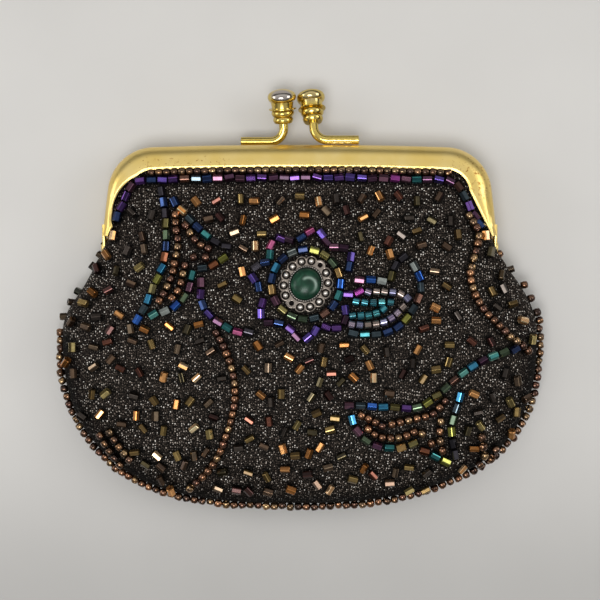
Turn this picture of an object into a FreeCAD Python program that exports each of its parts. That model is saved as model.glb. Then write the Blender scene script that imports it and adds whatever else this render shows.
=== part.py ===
import FreeCAD, Part
import math
import os
from FreeCAD import Vector

# Kiss lock frame purse, closed and lying on its back.
# X runs along the frame, Y from the bag's foot to the clasp, Z up through the front of the purse.
# The two halves of the frame meet at the parting plane, and every "height" below is counted from it.

# Frame: two channels stamped from brass sheet, each a bowed top bar with two flared arms
frame_half_width = 46.6
frame_top_y = 36.6
frame_top_bow = 0.6
arm_flare_deg = 6.5
corner_radius = 11.0
hinge_y = 12.5
channel_depth = 5.4
channel_wall = 0.6
channel_band = 5.6
channel_crest = 5.0
channel_shoulder = 1.5
channel_lip_drop = 0.25
inner_wall_width = 5.0
arm_band = 1.6
left_relief_radius = 10.7
left_relief_in = 0.9
left_relief_drop = 5.65
parting_gap = 0.15
frame_above_table = 1.0

# Hinge: a flat ear at the foot of every arm, lapped on the ear of the other half and riveted
ear_radius = 2.3
ear_thickness = 0.7
ear_gap = 0.15
ear_root = 3.0
ear_strap_low = 0.4
ear_strap_high = 3.3
arm_to_ear_gap = 0.4
rivet_radius = 0.8
rivet_clearance = 0.05
rivet_head_radius = 1.6
rivet_head_height = 0.6

# Clasp: a bent wire soldered along each top bar, with a turned knob pressed on its end
wire_radius = 1.08
wire_bend_radius = 3.2
wire_seat_gap = 0.03
stem_height = 1.7
left_run_end_x = -14.0
right_run_end_x = 13.9
left_foot_x = -3.6
right_foot_x = 3.6
left_cap_x = -4.25
right_cap_x = 2.6
cap_above_bar = 11.36
cap_cross = 0.8
knob_rib_radii = (2.05, 2.4)
knob_rib_height = 1.6
knob_groove = 0.35
knob_flange_radius = 3.25
knob_flange_height = 0.3
knob_neck_radius = 2.5
knob_neck_height = 1.5
knob_cap_radius = 3.35
knob_cap_round = 1.35
knob_cap_turn_deg = 60
knob_bore_clearance = 0.05
knob_bore_depth = 3.6

# Bag: two shaped panels of beaded cloth sewn round the edge, each with a lining
bag_half_width = 55.9
hip_y = -7.5
bottom_y = -48.0
bottom_roundness = 2.35
shoulder_y = 11.0
shoulder_half_width = 46.3
front_crown = 10.2
back_crown = 7.0
belly_y = -12.0
belly_roundness = 2.2
seam_crown = 0.6
cloth_thickness = 1.2
cloth_trim = 1.0
cloth_trim_lap = 0.2
cloth_tuck = 3.0
cloth_edge_inset = 1.6
cloth_lip_clearance = 0.35
cloth_edge_height = 1.0
cloth_height_over_hinge = 2.9
hinge_cover_y = 3.0
seam_start_y = 5.5
seam_gap = 0.12
section_side = 0.8
section_top = 0.7
lining_gap = 0.3
lining_thickness = 0.5
fold_above_hinge = 12.0
fold_below_hinge = 16.5
fold_gap = 0.1
packing_cord_radius = 0.4
packing_cord_inset = 1.08
packing_cord_height = 1.3

# Beads: round seed beads and six-sided bugle beads, sewn on in rows
seed_radius = 0.88
seed_end_radius = 0.6
seed_length = 1.5
seed_pitch = 1.74
bugle_radius = 0.8
bugle_length = 2.2
bugle_pitch = 2.5
bead_seat_gap = 0.12
bugle_side_count = 6
seed_side_count = 5
lip_row_gap = 0.1
lip_row_foot = 3.0
lip_row_turn = 3.0
seed_row_reach = 0.3
arm_row_gap = 0.65
left_row_inset = 6.2
left_row_foot = 4.6
left_row_foot_inset = 3.6

# Flower: a cast oval setting with a green cabochon, a ring of bugle beads and a star of petals
flower_x = 1.0
flower_y = 3.6
flower_sag = 0.15
flower_tilt_deg = -25.0
setting_half_width = 6.2
setting_half_height = 6.75
setting_thickness = 0.9
setting_lobe_count = 14
setting_lobe_depth = 0.6
setting_stud_inset = 1.25
setting_stud_radius = 0.6
sewing_hole_radius = 0.5
sewing_hole_lobes = (3, 10)
cabochon_half_width = 3.4
cabochon_half_height = 3.75
cabochon_dome = 2.2
bezel_clearance = 0.05
bezel_wall = 0.3
bezel_height = 0.7
flower_ring_radius = 7.9
petal_count = 8
petal_tip_radius = 13.4
petal_valley_radius = 10.1
petal_first_tip_deg = 85.0
petal_beads_per_side = 2
petal_tip_gap = 0.86
petal_bead_gap = 0.05
petal_under_leaf = 6

# Embroidery: lines of beads on the front cloth, each through a few places given as x and y
leaf_bugle_lines = (
    ((11.0, 1.3), (13.5, 1.8)),
    ((13.6, 4.5), (16.2, 4.6), (18.7, 4.3)),
    ((21.0, 5.4), (21.9, 7.8), (23.6, 9.6)),
    ((26.3, 7.8), (27.5, 5.2), (27.7, 2.4), (26.7, -0.6), (25.0, -3.4), (22.9, -5.7), (19.8, -7.3),
     (16.0, -7.8), (12.2, -7.5)),
)
leaf_seed_lines = (
    ((15.6, 1.8), (18.8, 1.9), (22.4, 1.5), (24.6, 0.4)),
    ((23.6, -1.6), (21.5, -3.6), (18.8, -5.1), (15.1, -5.6), (11.7, -5.5)),
    ((12.8, -0.4), (15.4, -0.6), (20.6, -0.5)),
    ((12.0, -3.5), (15.2, -3.5), (17.4, -3.0), (19.0, -2.1)),
)
left_leaf_bugle_lines = (
    ((-32.1, 25.0), (-31.4, 22.0), (-30.9, 18.0), (-30.7, 12.4), (-31.8, 7.0), (-33.7, 2.8), (-35.5, -1.2),
     (-37.1, -4.4)),
    ((-28.9, 22.6), (-27.3, 20.8), (-25.3, 18.6), (-22.6, 15.7), (-19.8, 13.6), (-16.9, 12.2)),
    ((-17.6, 9.5), (-19.9, 8.0), (-22.3, 7.4)),
    ((-24.7, 5.6), (-25.3, 2.6), (-26.6, 0.5), (-28.4, -1.2), (-30.7, -2.5), (-33.5, -3.3)),
)
left_leaf_seed_lines = (
    ((-28.6, 19.6), (-28.4, 16.2), (-27.9, 13.0), (-28.5, 9.3), (-29.3, 5.6), (-30.6, 2.4), (-32.2, -0.1)),
    ((-26.3, 17.0), (-24.7, 14.5), (-23.0, 12.8), (-21.0, 11.8)),
    ((-21.6, 9.7), (-24.4, 9.8)),
    ((-26.3, 8.0), (-26.7, 5.9), (-27.6, 2.6), (-29.2, 0.5)),
)
violet_vine_lines = (
    ((-22.6, 4.0), (-22.6, 0.8), (-21.6, -2.2), (-19.4, -4.4), (-16.8, -6.1), (-14.2, -7.2), (-11.6, -7.3)),
)
left_seed_vine_lines = (
    ((-19.1, -7.4), (-17.3, -10.8), (-15.6, -15.4), (-14.8, -20.4), (-15.4, -26.1), (-17.2, -31.9),
     (-19.4, -37.2), (-21.7, -40.6), (-24.0, -43.0)),
)
right_leaf_bugle_lines = (
    ((11.2, -23.9), (16.0, -24.1), (21.7, -24.4), (27.0, -24.4), (30.8, -22.2), (35.0, -18.5), (38.9, -15.5),
     (bag_half_width - 12.2, -13.0), (bag_half_width - 6.6, -11.3)),
    ((12.0, -27.2), (13.4, -30.0), (15.8, -32.4), (19.5, -33.6), (23.4, -33.6), (26.0, -32.8)),
    ((28.6, -34.6), (31.4, -35.8), (33.8, -37.0)),
    ((36.7, -22.0), (35.8, -25.2), (34.9, -28.5), (35.0, -32.0), (35.8, -35.2)),
)
right_leaf_seed_lines = (
    ((14.0, -26.2), (16.5, -27.3), (18.8, -28.6)),
    ((21.0, -28.2), (25.7, -27.1), (29.8, -26.2), (31.7, -24.8), (33.3, -22.9)),
    ((15.6, -29.3), (17.9, -31.0), (20.9, -31.5), (24.1, -31.0), (26.2, -30.0)),
    ((28.0, -30.4), (29.2, -31.5), (30.2, -32.7)),
    ((32.3, -27.6), (32.1, -31.0), (32.8, -34.4)),
)
right_seed_vine_lines = (
    ((37.0, 20.0), (38.0, 17.4), (38.6, 14.6), (38.7, 11.0), (38.9, 7.0), (40.0, 2.9), (42.6, -1.7),
     (bag_half_width - 9.6, -5.7), (bag_half_width - 5.9, -9.2)),
)
scatter_pitch = 6.0
scatter_nudge = 1.2
scatter_turn_deg = 137.5
scatter_clear = 2.9
scatter_top_y = 19.5
scatter_edge = 6.5
scatter_hinge_y = -2.0
scatter_lift = 0.12

parting_z = frame_above_table + channel_depth
arm_end_y = hinge_y + ear_radius + arm_to_ear_gap
cloth_top_y = frame_top_y - cloth_tuck
lip_y = frame_top_y - channel_band
cloth_height_at_lip = channel_depth - channel_lip_drop - channel_wall - cloth_lip_clearance
FRONT = 1
BACK = -1
LEFT = -1
RIGHT = 1
FAR = 200.0


def at(x, y, height):
    """A point by its place over the table and its height from the parting plane."""
    return Vector(x, y, parting_z + height)


def smooth(value, low, high):
    """0 below low, 1 above high, and an even S between them."""
    t = min(max((value - low) / (high - low), 0.0), 1.0)
    return t * t * (3 - 2 * t)


# Outside edge of the frame

flare = math.radians(arm_flare_deg)
arm_along = Vector(-math.sin(flare), math.cos(flare), 0)
arm_inward = Vector(-math.cos(flare), -math.sin(flare), 0)
arm_hinge = at(frame_half_width, hinge_y, 0)
bow_half_span = frame_half_width - corner_radius
bow_radius = (bow_half_span**2 + frame_top_bow**2) / (2 * frame_top_bow)
bow_centre = at(0, frame_top_y - bow_radius, 0)


def corner_centre():
    """Centre of the right corner, tangent to the arm and to the bowed top bar."""
    start = arm_hinge + arm_inward * corner_radius
    reach = start - bow_centre
    b = reach.dot(arm_along)
    along = -b + math.sqrt(b * b - reach.dot(reach) + (bow_radius - corner_radius) ** 2)
    return start + arm_along * along


corner = corner_centre()
corner_up = (corner - bow_centre).normalize()


def flip(point):
    """The same point on the left side."""
    return Vector(-point.x, point.y, point.z)


def arm_point(y, inset):
    """A point of the right arm at that y, counted on the outside edge and set in square to it."""
    along = (y - hinge_y) / math.cos(flare)
    return arm_hinge + arm_along * along + arm_inward * inset


def edge_x(y, inset):
    """Half width of the frame's outside edge at y, set in by inset: the arm, then its corner."""
    arm_top = corner - arm_inward * (corner_radius - inset)
    if y <= arm_top.y:
        return arm_hinge.x - (y - hinge_y) * math.tan(flare) - inset / math.cos(flare)
    return corner.x + math.sqrt(max((corner_radius - inset) ** 2 - (y - corner.y) ** 2, 0.0))


def frame_route(inset, height, foot):
    """Wire along the frame from the left foot to the right one, set in from the outside edge."""
    lift = Vector(0, 0, height)
    radius = corner_radius - inset
    start = corner - arm_inward * radius + lift
    middle = corner + (corner_up - arm_inward).normalize() * radius + lift
    end = corner + corner_up * radius + lift
    foot = foot + lift
    crest = at(0, frame_top_y - inset, height)
    edges = [
        Part.LineSegment(flip(foot), flip(start)),
        Part.Arc(flip(start), flip(middle), flip(end)),
        Part.Arc(flip(end), crest, end),
        Part.Arc(end, middle, start),
        Part.LineSegment(start, foot),
    ]
    return Part.Wire([edge.toShape() for edge in edges])


def swept(route, profile):
    """Solid of a closed profile carried along a route with its height kept upright."""
    pipe = Part.BRepOffsetAPI.MakePipeShell(route)
    pipe.setBiNormalMode(Vector(0, 0, 1))
    pipe.add(profile)
    pipe.build()
    pipe.makeSolid()
    return pipe.shape()


# Frame channels

def channel_profile():
    """Section of the front channel at the left foot: inner wall, outside edge, domed face and lip."""
    foot = flip(arm_point(arm_end_y, 0))
    inward = flip(arm_inward)

    def point(inset, height):
        return foot + inward * inset + Vector(0, 0, height)

    inner = parting_gap + channel_wall
    lip = channel_depth - channel_lip_drop
    centre = point(channel_crest, channel_shoulder)
    outer_dome = Part.Ellipse(point(0, channel_shoulder), point(channel_crest, channel_depth), centre)
    inner_dome = Part.Ellipse(
        point(channel_wall, channel_shoulder), point(channel_crest, channel_depth - channel_wall), centre
    )
    quarter = math.pi / 2
    lip_end = point(channel_band, lip)
    lip_under = point(channel_band, lip - channel_wall)
    lip_round = point(channel_band + channel_wall / 2, lip - channel_wall / 2)
    edges = [
        Part.LineSegment(point(inner_wall_width, parting_gap), point(0, parting_gap)),
        Part.LineSegment(point(0, parting_gap), point(0, channel_shoulder)),
        Part.ArcOfEllipse(outer_dome, 0, quarter),
        Part.LineSegment(point(channel_crest, channel_depth), lip_end),
        Part.Arc(lip_end, lip_round, lip_under),
        Part.LineSegment(lip_under, point(channel_crest, channel_depth - channel_wall)),
        Part.ArcOfEllipse(inner_dome, 0, quarter),
        Part.LineSegment(point(channel_wall, channel_shoulder), point(channel_wall, inner)),
        Part.LineSegment(point(channel_wall, inner), point(inner_wall_width, inner)),
        Part.LineSegment(point(inner_wall_width, inner), point(inner_wall_width, parting_gap)),
    ]
    return Part.Wire(Part.sortEdges([edge.toShape() for edge in edges])[0])


def arm_taper(side):
    """Block that trims the inner side of an arm, from the full band at the corner to arm_band. On the left
    it takes in a disc as well, where the lip was dressed back under the beads."""
    top = corner - arm_inward * (corner_radius - channel_band - channel_wall)
    foot = arm_point(arm_end_y, arm_band)
    below = foot + (foot - top).normalize() * ear_root
    corners = [top, below, below + arm_inward * channel_band, top + arm_inward * channel_band]
    if side == LEFT:
        corners = [flip(point) for point in corners]
    outline = Part.makePolygon(corners + corners[:1])
    height = channel_depth + channel_wall
    block = Part.Face(outline).extrude(Vector(0, 0, height))
    if side == LEFT:
        middle = flip(corner - Vector(left_relief_in, left_relief_drop, 0))
        block = block.fuse(Part.makeCylinder(left_relief_radius, height, middle))
    return block


def channel():
    """Front channel without its ears."""
    bar = swept(frame_route(0, 0, arm_point(arm_end_y, 0)), channel_profile())
    return bar.cut(arm_taper(LEFT)).cut(arm_taper(RIGHT))


front_ear_x = arm_point(arm_end_y, 0).x - ear_thickness - rivet_clearance
back_ear_x = front_ear_x - ear_gap - ear_thickness


def plate(points, x, thickness):
    """Flat plate across X, from points given as y and height."""
    corners = [at(x, y, height) for y, height in points]
    return Part.Face(Part.makePolygon(corners + corners[:1])).extrude(Vector(thickness, 0, 0))


def outside_arm():
    """Block beyond the outside edge of a right arm, from its foot up."""
    foot = arm_point(arm_end_y, 0)
    top = arm_point(arm_end_y + 2 * ear_root, 0)
    out = arm_inward * -ear_radius
    drop = Vector(0, 0, -channel_depth)
    corners = [point + drop for point in (foot, top, top + out, foot + out)]
    return Part.Face(Part.makePolygon(corners + corners[:1])).extrude(Vector(0, 0, 2 * channel_depth))


def ear(half, x, root_thickness):
    """Ear of a right arm: a drilled disc on a strap that runs up into the arm."""
    top_y = arm_end_y + ear_root
    strap = [
        (hinge_y, 0),
        (arm_end_y, half * ear_strap_low),
        (top_y, half * ear_strap_low),
        (top_y, half * ear_strap_high),
        (arm_end_y, half * ear_strap_high),
        (hinge_y, half * ear_radius),
    ]
    root = [
        (arm_end_y + channel_wall, half * ear_strap_low),
        (top_y, half * ear_strap_low),
        (top_y, half * ear_strap_high),
        (arm_end_y + channel_wall, half * ear_strap_high),
    ]
    across = Vector(1, 0, 0)
    disc = Part.makeCylinder(ear_radius, ear_thickness, at(x, hinge_y, 0), across)
    hole = Part.makeCylinder(rivet_radius + rivet_clearance, ear_thickness, at(x, hinge_y, 0), across)
    solid = disc.fuse([plate(strap, x, ear_thickness), plate(root, x, root_thickness)])
    return solid.cut(hole).cut(outside_arm())


def mirrored(shape, half):
    """The shape as it is for the front, or mirrored through the parting plane for the back."""
    return shape if half == FRONT else shape.mirror(at(0, 0, 0), Vector(0, 0, 1))


def frame_half(half):
    """One half of the frame: its channel and both ears in one stamping."""
    x = front_ear_x if half == FRONT else back_ear_x
    right_ear = ear(half, x, front_ear_x + ear_thickness - x)
    left_ear = right_ear.mirror(Vector(0, 0, 0), Vector(1, 0, 0))
    return mirrored(channel(), half).fuse([right_ear, left_ear]).removeSplitter()


def hinge_rivet(side):
    """Rivet through both ears of one side, with a flat inner head and a domed outer one."""
    inner = back_ear_x - rivet_clearance
    outer = front_ear_x + ear_thickness + rivet_clearance

    def point(x, radius):
        return at(x, hinge_y + radius, 0)

    dome_radius = (rivet_head_radius**2 + rivet_head_height**2) / (2 * rivet_head_height)
    dome_centre = outer + rivet_head_height - dome_radius
    half_way = math.asin(rivet_head_radius / dome_radius) / 2
    dome_side = point(dome_centre + dome_radius * math.cos(half_way), dome_radius * math.sin(half_way))
    dome_top = point(outer + rivet_head_height, 0)
    head = inner - rivet_head_height
    edges = [
        Part.LineSegment(point(head, 0), point(head, rivet_head_radius)),
        Part.LineSegment(point(head, rivet_head_radius), point(inner, rivet_head_radius)),
        Part.LineSegment(point(inner, rivet_head_radius), point(inner, rivet_radius)),
        Part.LineSegment(point(inner, rivet_radius), point(outer, rivet_radius)),
        Part.LineSegment(point(outer, rivet_radius), point(outer, rivet_head_radius)),
        Part.Arc(point(outer, rivet_head_radius), dome_side, dome_top),
        Part.LineSegment(dome_top, point(head, 0)),
    ]
    face = Part.Face(Part.Wire([edge.toShape() for edge in edges]))
    rivet = face.revolve(at(0, hinge_y, 0), Vector(1, 0, 0), 360)
    return rivet if side == RIGHT else rivet.mirror(Vector(0, 0, 0), Vector(1, 0, 0))


# Clasp

def clasp_points(half):
    """End of the soldered run, corner of the bend, foot of the knob and the way along the knob."""
    if half == FRONT:
        run_x, foot_x, cap_x = right_run_end_x, right_foot_x, right_cap_x
    else:
        run_x, foot_x, cap_x = left_run_end_x, left_foot_x, left_cap_x
    run_y = frame_top_y + wire_radius + wire_seat_gap
    run = at(run_x, run_y, half * stem_height)
    bend = at(foot_x, run_y, half * stem_height)
    cap = at(cap_x, frame_top_y + cap_above_bar, -half * cap_cross)
    axis = (cap - bend).normalize()
    return run, bend, cap - axis * knob_cap_centre(), axis


knob_cap_turn = math.radians(knob_cap_turn_deg)


def knob_cap_centre():
    """Distance from the foot of a knob to the widest line of its cap."""
    ribs = len(knob_rib_radii) * knob_rib_height
    return ribs + knob_flange_height + knob_neck_height + knob_cap_round * math.sin(knob_cap_turn)


def clasp_stem(half):
    """Bent wire: a run soldered on the top bar, a bend and a post that ends in the knob's bore."""
    run, bend, foot, axis = clasp_points(half)
    tip = foot + axis * (knob_bore_depth - knob_bore_clearance)
    back = (run - bend).normalize()
    turn = math.pi - back.getAngle(axis)
    reach = wire_bend_radius * math.tan(turn / 2)
    middle_way = (back + axis).normalize()
    centre = bend + middle_way * (wire_bend_radius / math.cos(turn / 2))
    start = bend + back * reach
    end = bend + axis * reach
    route = Part.Wire([
        Part.LineSegment(run, start).toShape(),
        Part.Arc(start, centre - middle_way * wire_bend_radius, end).toShape(),
        Part.LineSegment(end, tip).toShape(),
    ])
    section = Part.Wire(Part.makeCircle(wire_radius, run, back))
    return route.makePipeShell([section], True, False)


def clasp_knob(half):
    """Turned knob: two ribs, a thin flange, a neck and a domed cap, bored for the wire."""
    _, _, foot, axis = clasp_points(half)
    bore = wire_radius + knob_bore_clearance

    def point(radius, height):
        return Vector(radius, 0, height)

    edges = []
    pen = point(bore, 0)

    def line_to(target):
        nonlocal pen
        edges.append(Part.LineSegment(pen, target).toShape())
        pen = target

    def bulge_to(middle, target):
        nonlocal pen
        edges.append(Part.Arc(pen, middle, target).toShape())
        pen = target

    height = 0.0
    for radius in knob_rib_radii:
        foot_radius = radius - knob_groove
        line_to(point(foot_radius, height))
        height += knob_rib_height
        bulge_to(point(radius, height - knob_rib_height / 2), point(foot_radius, height))
    line_to(point(knob_flange_radius, height))
    height += knob_flange_height
    line_to(point(knob_flange_radius, height))
    line_to(point(knob_neck_radius, height))
    centre = knob_cap_centre()
    rise = knob_cap_round * math.sin(knob_cap_turn)
    rim = knob_cap_radius - knob_cap_round * (1 - math.cos(knob_cap_turn))
    line_to(point(rim, centre - rise))
    bulge_to(point(knob_cap_radius, centre), point(rim, centre + rise))
    dome = rim / math.cos(knob_cap_turn)
    dome_centre = centre + rise - dome * math.sin(knob_cap_turn)
    half_way = (math.pi / 2 - knob_cap_turn) / 2
    bulge_to(
        point(dome * math.sin(half_way), dome_centre + dome * math.cos(half_way)),
        point(0, dome_centre + dome),
    )
    line_to(point(0, knob_bore_depth))
    line_to(point(bore, knob_bore_depth))
    line_to(point(bore, 0))
    knob = Part.Face(Part.Wire(edges)).revolve(Vector(0, 0, 0), Vector(0, 0, 1), 360)
    turn = FreeCAD.Rotation(Vector(0, 0, 1), axis)
    knob.Placement = FreeCAD.Placement(foot, turn)
    return knob


# Bag panels

def bag_half_width_at(y):
    """Half width of the sewn outline: tucked in the frame, a round shoulder and a full round foot."""
    if y >= arm_end_y:
        return edge_x(y, cloth_edge_inset)
    if y > shoulder_y:
        inside = edge_x(arm_end_y, cloth_edge_inset)
        return shoulder_half_width + (inside - shoulder_half_width) * smooth(y, shoulder_y, arm_end_y)
    spread = bag_half_width - shoulder_half_width
    if y > hip_y:
        return shoulder_half_width + spread * math.sin(math.pi / 2 * (shoulder_y - y) / (shoulder_y - hip_y))
    fall = min((hip_y - y) / (hip_y - bottom_y), 1.0)
    return bag_half_width * (1 - fall**bottom_roundness) ** (1 / bottom_roundness)


def crown_at(y, belly):
    """Height of a panel along its middle: from the lip over the belly and down to the bottom seam."""
    if y > lip_y:
        return cloth_height_at_lip
    if y > belly_y:
        rise = math.sin(math.pi / 2 * (lip_y - y) / (lip_y - belly_y))
        return cloth_height_at_lip + (belly - cloth_height_at_lip) * rise
    fall = min((belly_y - y) / (belly_y - bottom_y), 1.0)
    return max(belly * (1 - fall**belly_roundness) ** (1 / belly_roundness), seam_crown)


def edge_height_at(y):
    """Height of a panel's side edge: in the channel, over the hinge, then down to the seam."""
    in_frame = cloth_height_over_hinge + (cloth_edge_height - cloth_height_over_hinge) * smooth(
        y, arm_end_y, arm_end_y + ear_root
    )
    released = smooth(y, hinge_y - seam_start_y, hinge_y - hinge_cover_y)
    return seam_gap + (in_frame - seam_gap) * released


def section(y, half, half_width, edge, crown, skirt):
    """Closed section of the bag at y: a full arch over a straight chord, or over an upright skirt."""
    side = edge + section_side * (crown - edge)
    arch = [
        (half_width, edge),
        (half_width, side),
        (section_top * half_width, crown),
        (0, crown),
        (-section_top * half_width, crown),
        (-half_width, side),
        (-half_width, edge),
    ]
    poles = [at(x, y, half * height) for x, height in arch]
    curve = Part.BSplineCurve()
    curve.buildFromPolesMultsKnots(poles, [4, 3, 4], [0, 1, 2], False, 3)
    chord = [poles[-1], poles[0]]
    if skirt:
        drop = Vector(0, 0, -half * skirt)
        chord = [poles[-1], poles[-1] + drop, poles[0] + drop, poles[0]]
    sides = [Part.LineSegment(a, b).toShape() for a, b in zip(chord, chord[1:])]
    return Part.Wire([curve.toShape()] + sides)


def stations(foot):
    """Places of the sections: even in the frame and over the shoulder, closing up towards the foot."""
    in_frame = [cloth_top_y + (arm_end_y - cloth_top_y) * k / 8 for k in range(8)]
    shoulder = [arm_end_y + (hip_y - arm_end_y) * k / 7 for k in range(7)]
    round_foot = [hip_y + (foot - hip_y) * math.sin(math.pi / 2 * k / 9) for k in range(10)]
    return in_frame + shoulder + round_foot


def bag_solid(half, belly, inset, skirt):
    """The room inside the outline of one panel, set in all round by inset and let out by skirt."""
    wires = []
    for y in stations(bottom_y + max(inset, seam_gap)):
        width = bag_half_width_at(y) - inset
        edge = edge_height_at(y) - (cloth_trim_lap if skirt else 0)
        crown = max(crown_at(y, belly) - inset, edge + seam_crown)
        wires.append(section(y, half, width, edge, crown, skirt))
    solid = Part.makeLoft(wires, True, False)
    if skirt:
        solid = solid.fuse(Part.Face(wires[0]).extrude(Vector(0, skirt, 0)))
    return solid


def cloth(half, belly, inset, thickness):
    """A curved sheet of that thickness, set in from the panel's outside by inset."""
    outer = bag_solid(half, belly, inset, 0)
    inner = bag_solid(half, belly, inset + thickness, cloth_trim)
    return outer.cut(inner)


def above(shape, y):
    """The part of a shape nearer the clasp than y."""
    return shape.common(Part.makeBox(2 * FAR, FAR, 2 * FAR, Vector(-FAR, y, -FAR)))


def below(shape, y):
    """The part of a shape nearer the bag's foot than y."""
    return shape.common(Part.makeBox(2 * FAR, FAR, 2 * FAR, Vector(-FAR, y - FAR, -FAR)))


fold_top_y = hinge_y + fold_above_hinge
fold_foot_y = hinge_y - fold_below_hinge


def front_panels():
    """The front cloth, parted where it bends when the frame opens: yoke, fold and pouch."""
    whole = cloth(FRONT, front_crown, 0, cloth_thickness)
    yoke = above(whole, fold_top_y + fold_gap)
    fold = above(below(whole, fold_top_y), fold_foot_y)
    pouch = below(whole, fold_foot_y - fold_gap)
    return yoke, fold, pouch


def back_panel():
    """The back cloth, flattened where the purse lies on it."""
    room = Part.makeBox(2 * FAR, 2 * FAR, FAR, Vector(-FAR, -FAR, 0))
    return cloth(BACK, back_crown, 0, cloth_thickness).common(room)


def lining(half, belly):
    """Thin lining inside a panel."""
    return cloth(half, belly, cloth_thickness + lining_gap, lining_thickness)


def packing_cord(half):
    """Paper cord pushed into the channel behind the cloth, round the whole frame."""
    foot = arm_point(arm_end_y + ear_root + packing_cord_radius, packing_cord_inset)
    route = frame_route(packing_cord_inset, packing_cord_height, foot)
    start = flip(foot) + Vector(0, 0, packing_cord_height)
    circle = Part.Wire(Part.makeCircle(packing_cord_radius, start, flip(arm_along)))
    return mirrored(swept(route, circle), half)


# Beads

def faceted(rings):
    """Closed solid through rings of points, with flat sides and ends."""
    side_count = len(rings[0])
    faces = [Part.Face(Part.makePolygon(rings[0] + rings[0][:1]))]
    faces.append(Part.Face(Part.makePolygon(rings[-1] + rings[-1][:1])))
    for low, high in zip(rings, rings[1:]):
        for k in range(side_count):
            n = (k + 1) % side_count
            faces.append(Part.Face(Part.makePolygon([low[k], low[n], high[n], high[k], low[k]])))
    return Part.makeSolid(Part.makeShell(faces))


def bead(radii, length, side_count):
    """Flat-sided bead along X through rings of those radii."""
    step = length / (len(radii) - 1)
    turns = [2 * math.pi * (k + 0.5) / side_count for k in range(side_count)]
    rings = [
        [Vector(k * step - length / 2, radius * math.cos(a), radius * math.sin(a)) for a in turns]
        for k, radius in enumerate(radii)
    ]
    return faceted(rings)


def seed_bead():
    return bead((seed_end_radius, seed_radius, seed_end_radius), seed_length, seed_side_count)


def bugle_bead():
    return bead((bugle_radius, bugle_radius), bugle_length, bugle_side_count)


def strung(shape, points, outward):
    """Copies of a bead at the points, each along its row with its side turned outward."""
    beads = []
    for k, point in enumerate(points):
        along = points[min(k + 1, len(points) - 1)] - points[max(k - 1, 0)]
        placed = shape.copy()
        placed.Placement = FreeCAD.Placement(point, FreeCAD.Rotation(along, Vector(), outward[k], "XZY"))
        beads.append(placed)
    return Part.makeCompound(beads)


def arch_height(share):
    """Height share of a section's arch at that share of its half width, found by halving."""
    low, high = 0.0, 1.0
    for _ in range(30):
        t = (low + high) / 2
        s = 1 - t
        reach = s**3 + 3 * s * s * t + 3 * s * t * t * section_top
        low, high = (t, high) if reach > share else (low, t)
    return 3 * s * s * t * section_side + 3 * s * t * t + t**3


def cloth_height(x, y, belly):
    """Height of a panel's outside over the parting plane."""
    edge = edge_height_at(y)
    share = min(abs(x) / bag_half_width_at(y), 1.0)
    return edge + (crown_at(y, belly) - edge) * arch_height(share)


def on_cloth(x, y, half, radius):
    """Centre of a bead of that radius seated on a panel, and the way out of the cloth there."""
    belly = front_crown if half == FRONT else back_crown
    step = 0.2
    slope_x = (cloth_height(x + step, y, belly) - cloth_height(x - step, y, belly)) / (2 * step)
    slope_y = (cloth_height(x, y + step, belly) - cloth_height(x, y - step, belly)) / (2 * step)
    out = Vector(-slope_x, -slope_y, 1).normalize()
    out.z *= half
    seat = at(x, y, half * cloth_height(x, y, belly))
    return seat + out * (radius + bead_seat_gap), out


def row_on_cloth(shape, radius, places, half):
    seats = [on_cloth(place.x, place.y, half, radius) for place in places]
    return strung(shape, [seat[0] for seat in seats], [seat[1] for seat in seats])


def bowed(x, y):
    """A point on the bow of the top bar moved down to y at the middle."""
    return at(x, y - x * x / (2 * bow_radius), 0)


def row_end(turn_x, bar_y, low):
    """Where a row leaves the bar, and its edges from there round the turn and down to the low point."""
    turn = bowed(turn_x, bar_y)
    leaves = bowed(turn_x - math.copysign(lip_row_turn, turn_x), bar_y)
    joins = turn + (low - turn).normalize() * lip_row_turn
    bend = Part.BezierCurve()
    bend.setPoles([leaves, turn, joins])
    return leaves, [bend.toShape(), Part.LineSegment(joins, low).toShape()]


def bar_line(inset):
    """Line on the cloth beside the lip of the bar alone, between the corners."""
    bar_y = lip_y - inset
    end = bowed(corner.x + seed_row_reach, bar_y)
    return Part.Wire([Part.Arc(flip(end), at(0, bar_y, 0), end).toShape()])


def arch_line(bar_inset, arm_inset):
    """Line on the cloth beside the frame's lip: up the left arm, along the bar and down the right arm."""
    bar_y = lip_y - bar_inset
    top = corner - arm_inward * (corner_radius - channel_band)
    foot = arm_point(arm_end_y, arm_band)
    taper = (top - foot).normalize()
    low = foot + taper * lip_row_foot + Vector(-taper.y, taper.x, 0) * arm_inset
    turn_x = low.x + taper.x * (bowed(corner.x, bar_y).y - low.y) / taper.y
    left_low = flip(arm_point(arm_end_y + left_row_foot, left_row_foot_inset))
    start, left_edges = row_end(left_row_inset - corner.x - corner_radius, bar_y, left_low)
    end, right_edges = row_end(turn_x, bar_y, low)
    bar = Part.Arc(start, at(0, bar_y, 0), end).toShape()
    return Part.Wire(Part.sortEdges(left_edges + [bar] + right_edges)[0])


def lip_beads(shape, radius, pitch, line, half):
    """Row of beads on the cloth beside the lip of one half of the frame."""
    count = int(line.Length / pitch)
    return row_on_cloth(shape, radius, line.discretize(count + 1), half)


seed_row_inset = channel_wall / 2 + seed_radius + lip_row_gap
bugle_row_inset = seed_row_inset + seed_radius + bugle_radius
seed_line = bar_line(seed_row_inset)
bugle_line = arch_line(bugle_row_inset, channel_wall / 2 + bugle_radius + arm_row_gap)


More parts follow.
